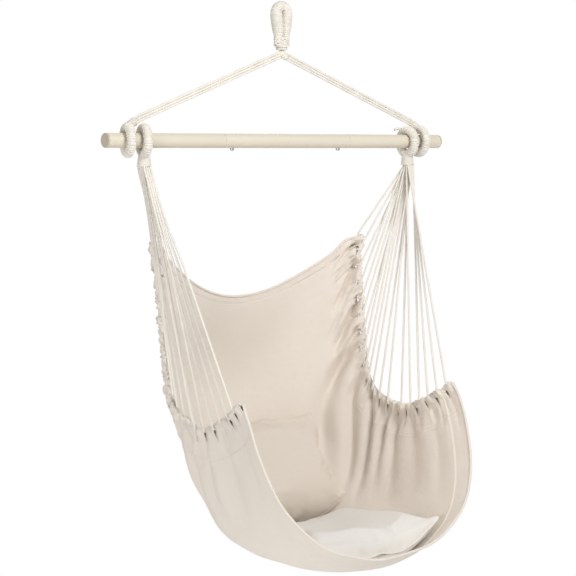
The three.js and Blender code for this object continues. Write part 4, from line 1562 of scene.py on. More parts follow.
@dataclass(frozen=True)
class SuspensionRopes:
    """Three laid ropes a side, from the knot to the collar on an outer eye."""

    radius: float = 0.00275
    pitch: float = 0.0059
    lead: float = 0.011
    bend_share: float = 0.2
    count: int = 3
    step: float = 0.0014
    tuck: float = 0.004
    sides: int = 18
    swell: float = 1.10
    lay: Lay = Lay(3, 0.170, 0.12)

    def route(self, side: float, knot: Array, knot_radius: float, eye: BarEye, index: int) -> Array:
        """Centres of one rope, from the knot to the collar's face.

        Args:
            side: -1 for left, 1 for right.
            knot: the knot's middle.
            knot_radius: the knot's radius.
            eye: the outer eye.
            index: 0 for the lowest rope.

        Returns:
            Points from knot to collar, bent only where the rope comes out of the collar.
        """
        face = eye.face()
        direction = np.array(eye.direction)
        run = unit(face - knot)
        above = np.array([-run[2] * side, 0.0, run[0] * side])
        face_above = np.array([direction[2] * side, 0.0, -direction[0] * side])
        offset = (index - (self.count - 1) / 2.0) * self.pitch
        inset = max(abs(offset) - self.radius, 0.0)
        clear = math.sqrt((knot_radius + FIT_GAP) ** 2 - inset ** 2)
        near = face + face_above * offset
        lead = near + direction * self.lead
        far = knot + run * clear + above * offset
        corners = np.array([
            far - run * self.tuck, lerp(lead, far, self.bend_share), lead, near - direction * self.tuck])
        return rounded(corners, self.step, 2.0 * self.lead)

    def build(self, word: str, side: float, knot: Array, knot_radius: float, eye: BarEye) -> None:
        """Makes the ropes of one side.

        Args:
            word: the side's name.
            side: -1 for left, 1 for right.
            knot: the knot's middle.
            knot_radius: the knot's radius.
            eye: the outer eye.
        """
        for i in range(self.count):
            path = self.route(side, knot, knot_radius, eye, i)
            shape = carried(path, self.swell * self.radius, self.sides, self.lay)
            rope = roped(shape, f"{word}_laid_rope_{i + 1}", Body.SUSPENSION,
                         f"{word}_suspension_rope_{i + 1}")


# The sling's form, from which cloth, cords and cushions take their places


@dataclass(frozen=True)
class SlingForm:
    """The cloth's middle surface, and the slits and cords along its two hems.

    u runs from the front edge to the top of the back, and s from the left hem to the right one.
    """

    arm_half: float = 0.307
    corner_flare: float = 0.012
    ear_flare: float = 0.005
    corner_front: float = 0.233
    ear_back: float = 0.083
    arm_drop: float = 0.636
    ear_drop: float = 0.232
    seat_front: float = 0.369
    seat_back: float = 0.212
    seat_drop: float = 0.974
    top_drop: float = 0.371
    knot_shares: tuple = (0.0, 0.22, 0.45, 0.62, 0.82, 1.0)
    hem_back_shares: tuple = (0.0, 0.266, 0.509, 0.81, 0.915, 1.0)
    hem_rise_shares: tuple = (0.161, 0.042, 0.0, 0.084, 0.349, 1.0)
    middle_back_shares: tuple = (0.0, 0.203, 0.67, 0.793, 1.0, 0.931)
    middle_rise_shares: tuple = (0.08, 0.0, 0.022, 0.177, 0.62, 1.0)
    shape_knot_shares: tuple = (0.0, 0.3, 0.6, 0.82, 1.0)
    bulge_shares: tuple = (0.133, 0.159, 0.062, 0.087, 0.0)
    drop_power_shares: tuple = (0.77, 0.685, 0.829, 0.92, 1.0)
    reach_power_shares: tuple = (0.561, 0.583, 1.057, 1.03, 1.0)
    hem_samples: int = 720
    hem_end: float = 0.009
    arm_end_share: float = 0.5
    arm_slits: int = 10
    back_slits: int = 8
    slit_width: float = 0.011
    slit_depth: float = 0.0134
    hem_rope_radius: float = 0.004
    fabric_thickness: float = 0.0025
    slack_depth: float = 0.0019
    slack_waves: tuple = (
        (1.0, (23.0, 9.0, 4.0, 0.6), (0.0, -6.0, 11.0, 1.9)),
        (0.6, (37.0, 14.0, -17.0, 0.0)),
        (0.45, (8.0, 51.0, 29.0, 2.2), (19.0, 0.0, 0.0, 0.8)),
    )
    frame_step: float = 1e-3
    inset_most: float = 0.5
    inset_samples: int = 4001

    def hem(self, u: Array, side: float) -> Array:
        """The hem's line: each coordinate is a cubic through the knots.

        Args:
            u: places along the hem.
            side: -1 for the left hem, 1 for the right one.

        Returns:
            Points in the row's frame.
        """
        flares = (self.corner_flare, 0.0, 0.0, 0.0, 0.0, self.ear_flare)
        back = through(self.knot_shares, self.hem_back_shares, u)
        rise = through(self.knot_shares, self.hem_rise_shares, u)
        return np.stack([
            side * (self.arm_half + through(self.knot_shares, flares, u)),
            lerp(-self.corner_front, self.ear_back, back),
            lerp(-self.arm_drop, -self.ear_drop, rise) - BAR_DROP,
        ], axis=-1)

    def point(self, u: Array, s: Array) -> Array:
        """The cloth's middle surface: a sagging line from hem to hem at each u.

        The sag is cos(s pi / 2) to a power, between the hem's place and the middle line's.

        Args:
            u: places from front to top.
            s: places from left (-1) to right (1).

        Returns:
            Points in the row's frame.
        """
        hem = self.hem(u, 1.0)
        back = lerp(-self.seat_front, self.seat_back, through(self.knot_shares, self.middle_back_shares, u))
        rise = lerp(-self.seat_drop, -self.top_drop, through(self.knot_shares, self.middle_rise_shares, u))
        bulge = through(self.shape_knot_shares, self.bulge_shares, u)
        drop_power = through(self.shape_knot_shares, self.drop_power_shares, u)
        reach_power = through(self.shape_knot_shares, self.reach_power_shares, u)
        angle = s * math.pi / 2.0
        hang = np.maximum(np.cos(angle), 0.0)
        across = lerp(np.sin(angle), s, u) * (1.0 + bulge * hang * hang)
        return np.stack([
            hem[..., 0] * across,
            hem[..., 1] + (back - hem[..., 1]) * hang ** reach_power,
            hem[..., 2] + (rise - BAR_DROP - hem[..., 2]) * hang ** drop_power,
        ], axis=-1)

    def frame(self, u: Array, s: Array) -> tuple[Array, Array, Array]:
        """Unit directions along the hem, across the cloth and out of the seat.

        Args:
            u: places from front to top.
            s: places from left (-1) to right (1).

        Returns:
            The three directions, each an array.
        """
        step = self.frame_step
        along = unit(self.point(np.minimum(u + step, 1.0), s) - self.point(np.maximum(u - step, 0.0), s))
        across = unit(self.point(u, np.minimum(s + step, 1.0)) - self.point(u, np.maximum(s - step, -1.0)))
        return along, across, unit(np.cross(along, across))

    def hem_lengths(self) -> tuple[Array, Array]:
        """Returns even places u along the hem and the hem's length up to each."""
        u = np.linspace(0.0, 1.0, self.hem_samples + 1)
        return u, lengths_along(self.hem(u, 1.0))

    def hem_length(self) -> float:
        """Returns the whole length of one hem."""
        return float(self.hem_lengths()[1][-1])

    def share_at(self, length: Array) -> Array:
        """Returns the u that lies a length along the hem."""
        u, lengths = self.hem_lengths()
        return np.interp(length, lengths, u)

    def slit_places(self) -> Array:
        """Returns lengths along the hem at which the slits lie: closer on the arm than up the back."""
        whole = self.hem_length()
        arm = whole * self.arm_end_share
        near = self.hem_end + (arm - self.hem_end) * (np.arange(self.arm_slits) + 0.5) / self.arm_slits
        rest = whole - self.hem_end - arm
        return np.concatenate([near, arm + rest * (np.arange(self.back_slits) + 0.5) / self.back_slits])

    def inset(self, u: float, reach: float) -> float:
        """Returns the share of the half width that lies a straight reach down the cloth from the hem."""
        low = np.linspace(0.0, self.inset_most, self.inset_samples)
        line = self.point(np.full_like(low, u), low - 1.0)
        return float(low[np.argmax(np.linalg.norm(line - self.hem(np.array(u), -1.0), axis=1) >= reach)])

    def slack(self, points: Array) -> Array:
        """Slow waves of slack cloth, over the object.

        Each is a size times a product of sines, and each sine's turn is a x + b y + c z + start.

        Args:
            points: places on the cloth.

        Returns:
            A displacement for each, along the cloth's normal.
        """
        whole = 0.0
        for size, *waves in self.slack_waves:
            for *rates, start in waves:
                size = size * np.sin(points @ np.array(rates) + start)
            whole = whole + size
        return self.slack_depth * whole


# Seat cords and hem ropes


@dataclass(frozen=True)
class SeatCords:
    """Nine loops of cord a side, each through two slits, and one cord to the ear of the back."""

    form: SlingForm
    radius: float = 0.0026
    pitch: float = 0.0057
    start: float = 0.004
    tuck: float = 0.004
    left_bundle_share: float = 0.20
    bundle_near: float = 0.090
    bundle_far: float = 0.170
    rows: int = 4
    columns: int = 5
    over_gap: float = 0.0018
    back_gap: float = 0.0007
    turn_share: float = 0.78
    ear_start: float = 0.008
    ear_end_share: float = 0.98
    step: float = 0.0013
    bend: float = 0.010
    sides: int = 15
    lay: Lay = Lay(3, 0.055, 0.08)

    def place(self, face: Array, side: float, index: int) -> Array:
        """Where a cord leaves its collar: in rows and columns, the innermost for the highest slits.

        Args:
            face: the middle of the collar's face.
            side: -1 for left, 1 for right.
            index: the cord's number, from 0 for the slit nearest the front.

        Returns:
            The place.
        """
        column, row = divmod(index, self.rows)
        if column >= self.columns / 2.0 - 1.0:
            row = self.rows - 1 - row
        return face + np.array([
            side * (row - (self.rows - 1) / 2.0) * self.pitch,
            (column - (self.columns - 1) / 2.0) * self.pitch,
            0.0])

    def leaving(self, face: Array, side: float, index: int) -> list[Array]:
        """Returns a cord's first two points: at its collar and straight below it."""
        first = self.place(face, side, index)
        return [first + np.array([0.0, 0.0, self.tuck]), first - np.array([0.0, 0.0, self.start])]

    def bundled(self, side: float, face: Array, path: Array) -> Array:
        """Draws a cord of the left side towards the middle of the bundle below its collar.

        Args:
            side: -1 for left, 1 for right.
            face: the collar's face.
            path: the cord's path.

        Returns:
            The path, moved by a share of its way to the bundle's axis that eases in and out.
        """
        if side > 0.0:
            return path
        hems = self.form.hem(self.form.share_at(self.form.slit_places()), side)
        way = unit(hems.mean(axis=0) - face)
        away = np.linalg.norm(path - face, axis=1)[:, None]
        weight = ease(away / self.bundle_near) * (1.0 - ease((away - self.bundle_near) / self.bundle_far))
        return path + (face + way * away - path) * weight * self.left_bundle_share

    def slit_route(self, side: float, face: Array, length: float, way: float) -> list[Array]:
        """A cord's way through one slit: over the hem rope, through the slit and on behind the cloth.

        Args:
            side: -1 for left, 1 for right.
            face: the collar's face.
            length: the slit's place along the hem.
            way: 1 where the cord goes on to the next slit, -1 where it comes from the one before.

        Returns:
            Four points.
        """
        form = self.form
        u = float(form.share_at(length))
        s = side * (1.0 - form.inset(u, form.slit_depth))
        along, across, outward = form.frame(np.array(u), np.array(s))
        hem = form.hem(np.array(u), side)
        down = -side * across
        out = outward * np.sign((face - hem).dot(outward))
        over = form.hem_rope_radius + self.radius + self.over_gap
        past = (form.hem_rope_radius + form.slit_depth) / 2.0
        behind = form.fabric_thickness / 2.0 + self.radius + self.back_gap
        return [
            hem + out * over,
            hem + (out + down) * over * self.turn_share,
            hem + down * past,
            hem - out * behind + down * past + way * along * form.slit_width / 4.0,
        ]

    def loop(self, side: float, face: Array, index: int) -> Array:
        """The path of one loop: down to its first slit, along, and back from its second.

        Args:
            side: -1 for left, 1 for right.
            face: the middle of the collar's face.
            index: the loop's number, from 0 at the front.

        Returns:
            The path, from the collar and back to it.
        """
        places = self.form.slit_places()
        first = 2 * index
        corners = [
            *self.leaving(face, side, first),
            *self.slit_route(side, face, places[first], 1.0),
            *self.slit_route(side, face, places[first + 1], -1.0)[::-1],
            *self.leaving(face, side, first + 1)[::-1],
        ]
        return self.bundled(side, face, rounded(np.array(corners), self.step, self.bend))

    def ear(self, side: float, face: Array) -> Array:
        """The path of the cord from the collar to the ear.

        Args:
            side: -1 for left, 1 for right.
            face: the middle of the collar's face.

        Returns:
            The path.
        """
        end = self.form.hem(np.array(1.0), side)
        past = unit(end - self.form.hem(np.array(self.ear_end_share), side))
        count = len(self.form.slit_places())
        corners = [*self.leaving(face, side, count), end + past * self.ear_start, end + past * FIT_GAP]
        return rounded(np.array(corners), self.step, self.bend)

    def build(self, word: str, side: float, face: Array) -> None:
        """Args:
            word: the side's name.
            side: -1 for left, 1 for right.
            face: the middle of the collar's face.
        """
        loops = len(self.form.slit_places()) // 2
        cords = [(self.loop(side, face, i), f"laid_cord_{i + 1}", f"seat_cord_{i + 1}")
                 for i in range(loops)]
        for path, name, node in cords + [(self.ear(side, face), "laid_ear_cord", "ear_cord")]:
            shape = carried(path, self.radius, self.sides, self.lay)
            roped(shape, f"{word}_{name}", Body.SLING, f"{word}_{node}")


# Cloth of the sling


@dataclass(frozen=True)
class Fold:
    """One fold of the cloth: a furrow or a ridge along a line from near the hem down the cloth.

    Places are (length along the hem, distance down the cloth). The height at a place is
    depth * exp(-|p / width|^crest) * rise * fall, where p is the distance from the line, the width grows
    along it, and rise and fall ease the fold in at its start and out at its end.
    """

    start: tuple[float, float]
    end: tuple[float, float]
    depth: float
    width: float = 0.009
    spread_share: float = 0.6
    rise_share: float = 0.22
    fall_share: float = 0.45
    lead_share: float = 0.05
    spread_past: float = 1.5
    crest: float = 1.5

    def height(self, h: Array, d: Array) -> Array:
        """The fold's height at places given by h and d.

        Args:
            h: lengths along the hem.
            d: distances down the cloth.

        Returns:
            A height for each place.
        """
        run = np.subtract(self.end, self.start)
        length = math.hypot(*run)
        way = run / length
        along = ((h - self.start[0]) * way[0] + (d - self.start[1]) * way[1]) / length
        apart = (d - self.start[1]) * way[0] - (h - self.start[0]) * way[1]
        width = self.width * (1.0 + self.spread_share * np.clip(along, 0.0, self.spread_past))
        rise = ease((along + self.lead_share) / self.rise_share)
        fall = 1.0 - ease((along - 1.0 + self.fall_share) / self.fall_share)
        return self.depth * np.exp(-np.abs(apart / width) ** self.crest) * rise * fall


@dataclass(frozen=True)
class SlingCloth:
    """The sling's canvas: one sheet, folded over a rope along each hem, gathered between the cords.

    Rows of the grid run from the edge of the left flap over the left rope, across the seat and over
    the right rope to the edge of the right flap. Columns lie along the hem, two at each slit.
    """

    form: SlingForm
    thickness: float = 0.0013
    line_step: float = 0.0037
    line_clear: float = 0.45
    slit_half_gap: float = 0.0006
    slit_open: float = 0.0024
    slit_lens: tuple = (0.75, 0.8)
    slit_vary: tuple = (0.80, 0.55, 2.3)
    back_slit_share: float = 2.8
    slit_low: float = 0.0055
    slit_high: float = 0.032
    slit_cut: float = 0.032
    slit_cut_hidden: float = 0.0125
    slit_reach: float = 0.009
    flap: float = 0.078
    flap_offset: float = 0.0016
    tunnel_near: float = 0.0050
    tunnel_puff: float = 0.0066
    tunnel_blend: float = 0.030
    hem_sag: float = 0.0085
    sag_reach: float = 0.03
    slack_reach: float = 0.10
    lump: float = 0.0036
    lump_pitch: float = 0.0137
    lump_wander: tuple = ((2.2, 0.23, 0.0), (1.1, 0.61, 0.7))
    lump_reach: float = 0.026
    lump_sag: float = 0.0026
    ear_bulge: float = 0.0095
    ear_bulge_from: float = 0.024
    ear_bulge_reach: float = 0.014
    ear_wrinkles: int = 8
    ear_wrinkle: float = 0.0110
    ear_puff: float = 0.0065
    ear_reach: float = 0.022
    ear_lobe: float = 0.0105
    ear_lobe_at: float = 0.042
    ear_lobe_width: float = 0.026
    ear_lobe_reach: float = 0.035
    puff_depth: float = 0.0060
    puff_reach: float = 0.045
    puff_from: float = 0.02
    puff_level: float = 0.3
    puff_vary: tuple = (0.62, 0.38, 1.9, 0.7)
    gather_lean: float = -1.4
    gather_lean_from: float = 0.30
    gather_start: float = 0.006
    gather_folds: tuple = (
        (0.0, 0.0050, 0.0042), (0.011, -0.0034, 0.0050), (0.020, 0.0036, 0.0045), (0.029, -0.0030, 0.0055))
    gather_shift: float = 0.003
    gather_reach: tuple = (0.055, 0.125)
    gather_slant: float = 0.22
    gather_size: tuple = (0.6, 1.25)
    wrinkle_start: tuple = (0.005, 0.001)
    wrinkle_pitch: float = 0.0078
    wrinkle_width: float = 0.0042
    wrinkle_size: tuple = (0.7, 1.3)
    wrinkle_slide: tuple = (0.018, 0.040)
    wrinkle_reach: tuple = (0.05, 0.110)
    edge_keep: float = 0.15
    ear_keep: float = 0.65
    ear_keep_reach: float = 0.10
    edge_reach: float = 0.045
    top_edge: tuple = (1.4, 0.004)
    arc_steps: int = 8
    near_rows: int = 28
    near_depth: float = 0.105
    near_power: float = 1.25
    far_rows: int = 60
    table_samples: int = 701
    stitch_rows: tuple = (0.066, 0.073)
    groove_depth: float = 0.0005
    groove_width: float = 0.0016
    groove_rows: tuple = (-0.8, 0.0, 0.8)
    front_band: float = 0.040
    top_band: float = 0.016
    band_step: float = 0.0016
    band_lines: tuple = (-1.5, -0.5, 0.5, 1.5)
    top_step_share: float = 0.5
    measured_every: int = 12
    rope_samples: int = 460
    rope_share: float = 0.985
    rope_taper: float = 0.42
    rope_taper_reach: float = 0.014
    rope_sides: int = 18
    rope_lay: Lay = Lay(3, 0.026, 0.14)

    def lines(self) -> Array:
        """Places of the grid's columns along the hem.

        Returns:
            Lengths along the hem: an even run, two at each slit, and close ones at the bands' edges.
        """
        whole = self.form.hem_length()
        slits = self.form.slit_places()
        even = np.linspace(0.0, whole, int(whole / self.line_step) + 1)
        bands = np.array([self.front_band, whole - self.top_band])
        close = (bands[:, None] + self.band_step * np.array(self.band_lines)).ravel()
        apart = np.abs(even[:, None] - np.concatenate([slits, bands])).min(axis=1)
        clear = apart > self.line_clear * self.line_step
        clear[[0, -1]] = True
        edges = (slits[:, None] + self.slit_half_gap * np.array([-1.0, 1.0])).ravel()
        return np.sort(np.concatenate([even[clear], close, edges]))

    def rows(self) -> tuple[Array, Array]:
        """Returns distances down the cloth of the near rows, and shares of the rest for the far ones."""
        share = np.linspace(0.0, 1.0, self.near_rows)
        near = self.near_depth * share ** self.near_power
        grooves = [row + self.groove_width * np.array(self.groove_rows) for row in self.stitch_rows]
        far = np.linspace(0.0, 1.0, self.far_rows + 1)[1:]
        return np.sort(np.concatenate([near[1:], *grooves])), far

    def table(self) -> tuple[Array, Array, Array]:
        """The right half of the cloth's middle surface on an even table.

        For each of many places along the hem, points are found at the rows' true distances down the
        cloth, from the length of the line s = 1 - q^2, which is closely spaced at the hem.

        Returns:
            Points (place, row), their distances down the cloth, and the places along the hem.
        """
        near, far = self.rows()
        h = np.linspace(0.0, self.form.hem_length(), self.form.hem_samples + 1)
        u = self.form.share_at(h)
        q = np.linspace(0.0, 1.0, self.table_samples)
        line = self.form.point(u[:, None], 1.0 - q[None, :] ** 2)
        run = np.concatenate([np.zeros((len(u), 1)), np.cumsum(
            np.linalg.norm(np.diff(line, axis=1), axis=2), axis=1)], axis=1)
        down = np.concatenate([
            np.broadcast_to(near, (len(u), len(near))),
            near[-1] + (run[:, -1:] - near[-1]) * far[None, :]], axis=1)
        return np.stack([at_lengths(*row) for row in zip(line, run, down)]), down, h

    def between(self, h: Array) -> Array:
        """Sin^2 of the place between two slits, 0 at a slit and at the ends, and uneven.

        Args:
            h: lengths along the hem.

        Returns:
            A value for each, at most 1.
        """
        knots = np.concatenate([[0.0], self.form.slit_places(), [self.form.hem_length()]])
        i = np.clip(np.searchsorted(knots, h, side="right") - 1, 0, len(knots) - 2)
        mean, vary, slow, quick = self.puff_vary
        full = mean + vary * np.sin(slow * i + quick * i * i)
        return full * np.sin(np.pi * (h - knots[i]) / (knots[i + 1] - knots[i])) ** 2

    def lumps(self, h: Array) -> Array:
        """Returns the fine gathers along the hem: a sine whose pitch wanders, from -1 to 1."""
        turn = 2.0 * np.pi * h / self.lump_pitch
        return np.sin(turn + sum(size * np.sin(rate * turn + at) for size, rate, at in self.lump_wander))

    def opened(self, h: Array, d: Array) -> Array:
        """Places along the hem after the slits have been pulled open into lens shapes.

        A slit's two lips move apart by w(d), and their neighbours less, by exp(-distance / reach).

        Args:
            h: places along the hem.
            d: distances down the cloth, of the same shape.

        Returns:
            Moved places.
        """
        part = np.clip((d - self.slit_low) / (self.slit_high - self.slit_low), 0.0, 1.0)
        lean, full = self.slit_lens
        wide = self.slit_open * np.sin(np.pi * part ** lean) ** full
        slits = self.form.slit_places()
        mean, spread, rate = self.slit_vary
        vary = mean + spread * np.sin(rate * np.arange(len(slits)))
        vary[self.form.arm_slits:] *= self.back_slit_share
        away = h[..., None] - slits
        push = np.sign(away) * np.exp(-np.maximum(np.abs(away) - self.slit_half_gap, 0.0) / self.slit_reach)
        return h + (push * vary).sum(axis=-1) * wide

    def gathers(self, side: float) -> list[Fold]:
        """Small folds of one side: some at each slit and just past it, and the ear's wrinkles.

        Args:
            side: -1 for the left half, 1 for the right one.

        Returns:
            The folds, whose places, lengths, slants and depths are drawn from a fixed seed.
        """
        random = np.random.default_rng(SEED + int(side))
        made = []
        for place in self.form.slit_places():
            lean = self.gather_lean * max(place - self.gather_lean_from, 0.0) / self.gather_lean_from
            for shift, depth, width in self.gather_folds:
                at = place + shift + random.uniform(-self.gather_shift, self.gather_shift)
                reach = random.uniform(*self.gather_reach)
                slant = lean + random.uniform(-self.gather_slant, self.gather_slant)
                depth = depth * random.uniform(*self.gather_size)
                made.append(Fold((at, self.gather_start), (at + slant * reach, reach), depth, width))
        from_top, start = self.wrinkle_start
        for i in range(self.ear_wrinkles):
            at = self.form.hem_length() - from_top - self.wrinkle_pitch * i
            depth = self.ear_wrinkle * (1.0 if i % 2 else -1.0) * random.uniform(*self.wrinkle_size)
            end = (at - random.uniform(*self.wrinkle_slide), random.uniform(*self.wrinkle_reach))
            made.append(Fold((at, start), end, depth, self.wrinkle_width))
        return made

    def right_folds(self) -> list[Fold]:
        """Returns the large folds of the right side, in view on its inner face."""
        return [
            Fold((0.088, 0.020), (0.086, 0.270), 0.0060, 0.014),
            Fold((0.137, 0.012), (0.122, 0.275), 0.0100, 0.011),
            Fold((0.186, 0.010), (0.137, 0.285), 0.0150, 0.0085),
            Fold((0.226, 0.030), (0.150, 0.270), 0.0110, 0.0085),
            Fold((0.288, 0.010), (0.166, 0.290), 0.0170, 0.0085),
            Fold((0.345, 0.022), (0.205, 0.270), 0.0240, 0.0105),
            Fold((0.405, 0.018), (0.265, 0.265), 0.0310, 0.0125),
            Fold((0.448, 0.010), (0.330, 0.130), 0.0210, 0.0085),
            Fold((0.524, 0.004), (0.380, 0.100), 0.0230, 0.0080),
            Fold((0.615, 0.006), (0.490, 0.085), 0.0190, 0.0080),
            Fold((0.650, 0.004), (0.575, 0.100), 0.0100, 0.0060),
            Fold((0.646, 0.004), (0.630, 0.110), 0.0080, 0.0055),
            Fold((0.570, 0.004), (0.440, 0.085), -0.0080, 0.0090),
            Fold((0.480, 0.004), (0.350, 0.105), -0.0080, 0.0090),
            Fold((0.262, 0.020), (0.160, 0.240), -0.0060, 0.0100),
            Fold((0.206, 0.020), (0.148, 0.240), -0.0055, 0.0090),
        ]

    def left_folds(self) -> list[Fold]:
        """Returns the large folds of the left side, in view on its outer face."""
        return [
            Fold((0.045, 0.015), (0.050, 0.230), -0.0070, 0.011),
            Fold((0.112, 0.012), (0.118, 0.300), -0.0110, 0.010),
            Fold((0.165, 0.012), (0.142, 0.290), -0.0120, 0.009),
            Fold((0.225, 0.014), (0.180, 0.290), -0.0110, 0.010),
            Fold((0.290, 0.014), (0.235, 0.270), -0.0120, 0.010),
            Fold((0.355, 0.014), (0.285, 0.240), -0.0110, 0.010),
            Fold((0.430, 0.012), (0.330, 0.170), -0.0130, 0.009),
            Fold((0.510, 0.008), (0.390, 0.130), -0.0120, 0.009),
            Fold((0.600, 0.006), (0.490, 0.100), -0.0120, 0.008),
            Fold((0.648, 0.004), (0.600, 0.110), -0.0080, 0.006),
            Fold((0.140, 0.030), (0.132, 0.250), 0.0060, 0.011),
            Fold((0.260, 0.030), (0.215, 0.240), 0.0060, 0.011),
        ]

    def relief(self, side: float, h: Array, d: Array) -> Array:
        """How far folds and puffs move the cloth along its normal.

        Args:
            side: -1 for the left half, 1 for the right one.
            h: lengths along the hem.
            d: distances down the cloth.

        Returns:
            Heights, outwards from the seat.
        """
        large = self.right_folds() if side > 0.0 else self.left_folds()
        heights = np.zeros(np.broadcast(h, d).shape)
        for fold in self.gathers(side) + large:
            heights += fold.height(h, d)
        puffs = self.puff_depth * (self.between(h) - self.puff_level) * np.exp(-d / self.puff_reach)
        heights += puffs * ease(d / self.puff_from)
        heights += self.lump * self.lumps(h) * np.exp(-d / self.lump_reach)
        end = self.form.hem_length()
        share, start = self.top_edge
        edge = np.minimum(h, share * (end - h) + start)
        near_ear = np.exp(-d / self.ear_keep_reach) * (h > 0.5 * end)
        return heights * lerp(self.edge_keep + self.ear_keep * near_ear, 1.0, ease(edge / self.edge_reach))

    def hem_pull(self, lines: Array) -> Array:
        """Returns how far the hem lies down the cloth: more between the cords, and less at the ear."""
        from_ear = lines[-1] - lines
        past = from_ear - self.ear_bulge_from
        return self.hem_sag * self.between(lines) * (past > 0.0) - self.ear_bulge * bell(
            past / self.ear_bulge_reach)

    def half(self, side: float) -> tuple[Array, Array, Array, Array]:
        """One half of the cloth, from the edge of its flap to the middle line.

        Args:
            side: -1 for the left half, 1 for the right one.

        Returns:
            Points (line, row), their places on the flat cloth (line, row, 2), the distance down the
            cloth of each row, and how far down each row's slits are cut, 0 over the rope.
        """
        table, down_table, h_table = self.table()
        lines = self.lines()
        near, far = self.rows()
        h = np.broadcast_to(lines[:, None], (len(lines), table.shape[1]))
        base_down = np.concatenate([near, np.full(len(far), near[-1] + 1.0)])
        moved_h = np.clip(self.opened(h, np.broadcast_to(base_down, h.shape)), 0.0, h_table[-1])
        place = moved_h / h_table[1]
        low = np.clip(place.astype(int), 0, len(h_table) - 2)
        part = (place - low)[..., None]
        row = np.arange(table.shape[1])[None, :]
        mirror = np.array([side, 1.0, 1.0])
        points = ((1.0 - part) * table[low, row] + part * table[low + 1, row]) * mirror
        down = (1.0 - part[..., 0]) * down_table[low, row] + part[..., 0] * down_table[low + 1, row]
        hem = self.form.hem(self.form.share_at(lines), side)
        whole = np.concatenate([hem[:, None], points], axis=1)
        depth = np.concatenate([np.zeros((len(lines), 1)), down], axis=1)
        along = unit(np.gradient(whole, axis=0))
        away = unit(np.gradient(whole, axis=1))
        outward = unit(np.cross(along, -side * away))
        outward[:, 0] = outward[:, 1]
        away[:, 0] = away[:, 1]
        heights = self.relief(side, np.broadcast_to(lines[:, None], depth.shape), depth)
        heights += self.form.slack(whole) * ease(depth / self.slack_reach)
        first = 1.0 - ease((lines - self.front_band) / self.band_step)
        last = 1.0 - ease((lines[-1] - self.top_band - lines) / self.band_step)
        bands = self.band_step * (first - self.top_step_share * last)[:, None]
        for at in self.stitch_rows:
            heights -= self.groove_depth * bell((depth - at) / self.groove_width)
        whole = whole + outward * (heights + bands)[..., None]
        from_ear = (lines[-1] - lines)[:, None]
        tunnel = self.tunnel_near + self.tunnel_puff * self.between(lines)[:, None]
        tunnel = tunnel + self.ear_puff * np.exp(-from_ear / self.ear_reach)
        blend = ease(depth / self.tunnel_blend)
        pull = (self.hem_pull(lines) + self.lump_sag * self.lumps(lines))[:, None]
        whole = whole + away * (pull * (1.0 - ease(depth / self.sag_reach)))[..., None]
        lobe = bell((depth - self.ear_lobe_at) / self.ear_lobe_width)
        lobe = self.ear_lobe * lobe * np.exp(-from_ear / self.ear_lobe_reach)
        whole = whole + along * lobe[..., None]
        inner = whole - outward * (tunnel * (1.0 - blend))[..., None]
        in_flap = np.flatnonzero((depth[0] > 0.0) & (depth[0] <= self.flap))
        in_flap = in_flap[(len(in_flap) - 1) % 2::2]
        flap = (whole + outward * lerp(tunnel, self.flap_offset, blend)[..., None])[:, in_flap]
        turn = np.linspace(0.0, np.pi, self.arc_steps + 2)[None, :, None]
        arc_points = whole[:, :1] + tunnel[..., None] * (
            np.cos(turn) * outward[:, :1] - np.sin(turn) * away[:, :1])
        sheet = np.concatenate([flap[:, ::-1], arc_points, inner[:, 1:]], axis=1)
        flap_depth = depth[:, in_flap]
        run = tunnel * turn[..., 0]
        cloth_v = np.concatenate([
            -flap_depth[:, ::-1] - run[:, -1:], -run[:, ::-1], depth[:, 1:]], axis=1)
        rows_down = np.concatenate([flap_depth[:, ::-1], np.zeros_like(run), depth[:, 1:]], axis=1)[0]
        shown, hidden = self.slit_cut, self.slit_cut_hidden
        flap_cut, main_cut = (shown, hidden) if side < 0.0 else (hidden, shown)
        cut = np.concatenate([
            np.full(len(in_flap), flap_cut), np.zeros(run.shape[1]), np.full(depth.shape[1] - 1, main_cut)])
        length_here = np.broadcast_to(lines[:, None], cloth_v.shape)
        return sheet, np.stack([length_here, cloth_v], axis=-1), rows_down, cut

    def sheet(self) -> tuple[Surface, dict[str, Array]]:
        """The whole cloth as one surface, and the lines that trims follow.

        Returns:
            The surface, whose UV is the flat cloth in metres, and named lines of points.
        """
        left, left_flat, left_down, left_cut = self.half(-1.0)
        right, right_flat, right_down, right_cut = self.half(1.0)
        middle = 0.5 * (left[:, -1:] + right[:, -1:])
        points = np.concatenate([left[:, :-1], middle, right[:, :-1][:, ::-1]], axis=1)
        right_v = right_flat[:, :-1][:, ::-1].copy()
        right_v[..., 1] = 2.0 * left_flat[:, -1:, 1] - right_v[..., 1]
        flat = np.concatenate([left_flat, right_v], axis=1)
        down = np.concatenate([left_down, right_down[:-1][::-1]])
        cut = np.concatenate([left_cut, right_cut[:-1][::-1]])
        faces = grid_faces(*points.shape[:2])
        i, j = np.divmod(np.arange(len(faces)), points.shape[1] - 1)
        lines = self.lines()
        middle_of = 0.5 * (lines[i] + lines[i + 1])
        from_slit = np.abs(middle_of[:, None] - self.form.slit_places()).min(axis=1)
        at_slit = from_slit < 0.5 * self.slit_half_gap
        d = 0.5 * (down[j] + down[j + 1])
        open_here = at_slit & (d > self.slit_low) & (d < np.minimum(cut[j], cut[j + 1]))
        faces = faces[~open_here][:, ::-1]
        surface = Surface(points.reshape(-1, 3), faces, flat.reshape(-1, 2)[faces])
        return surface, {"grid": points, "down": down}

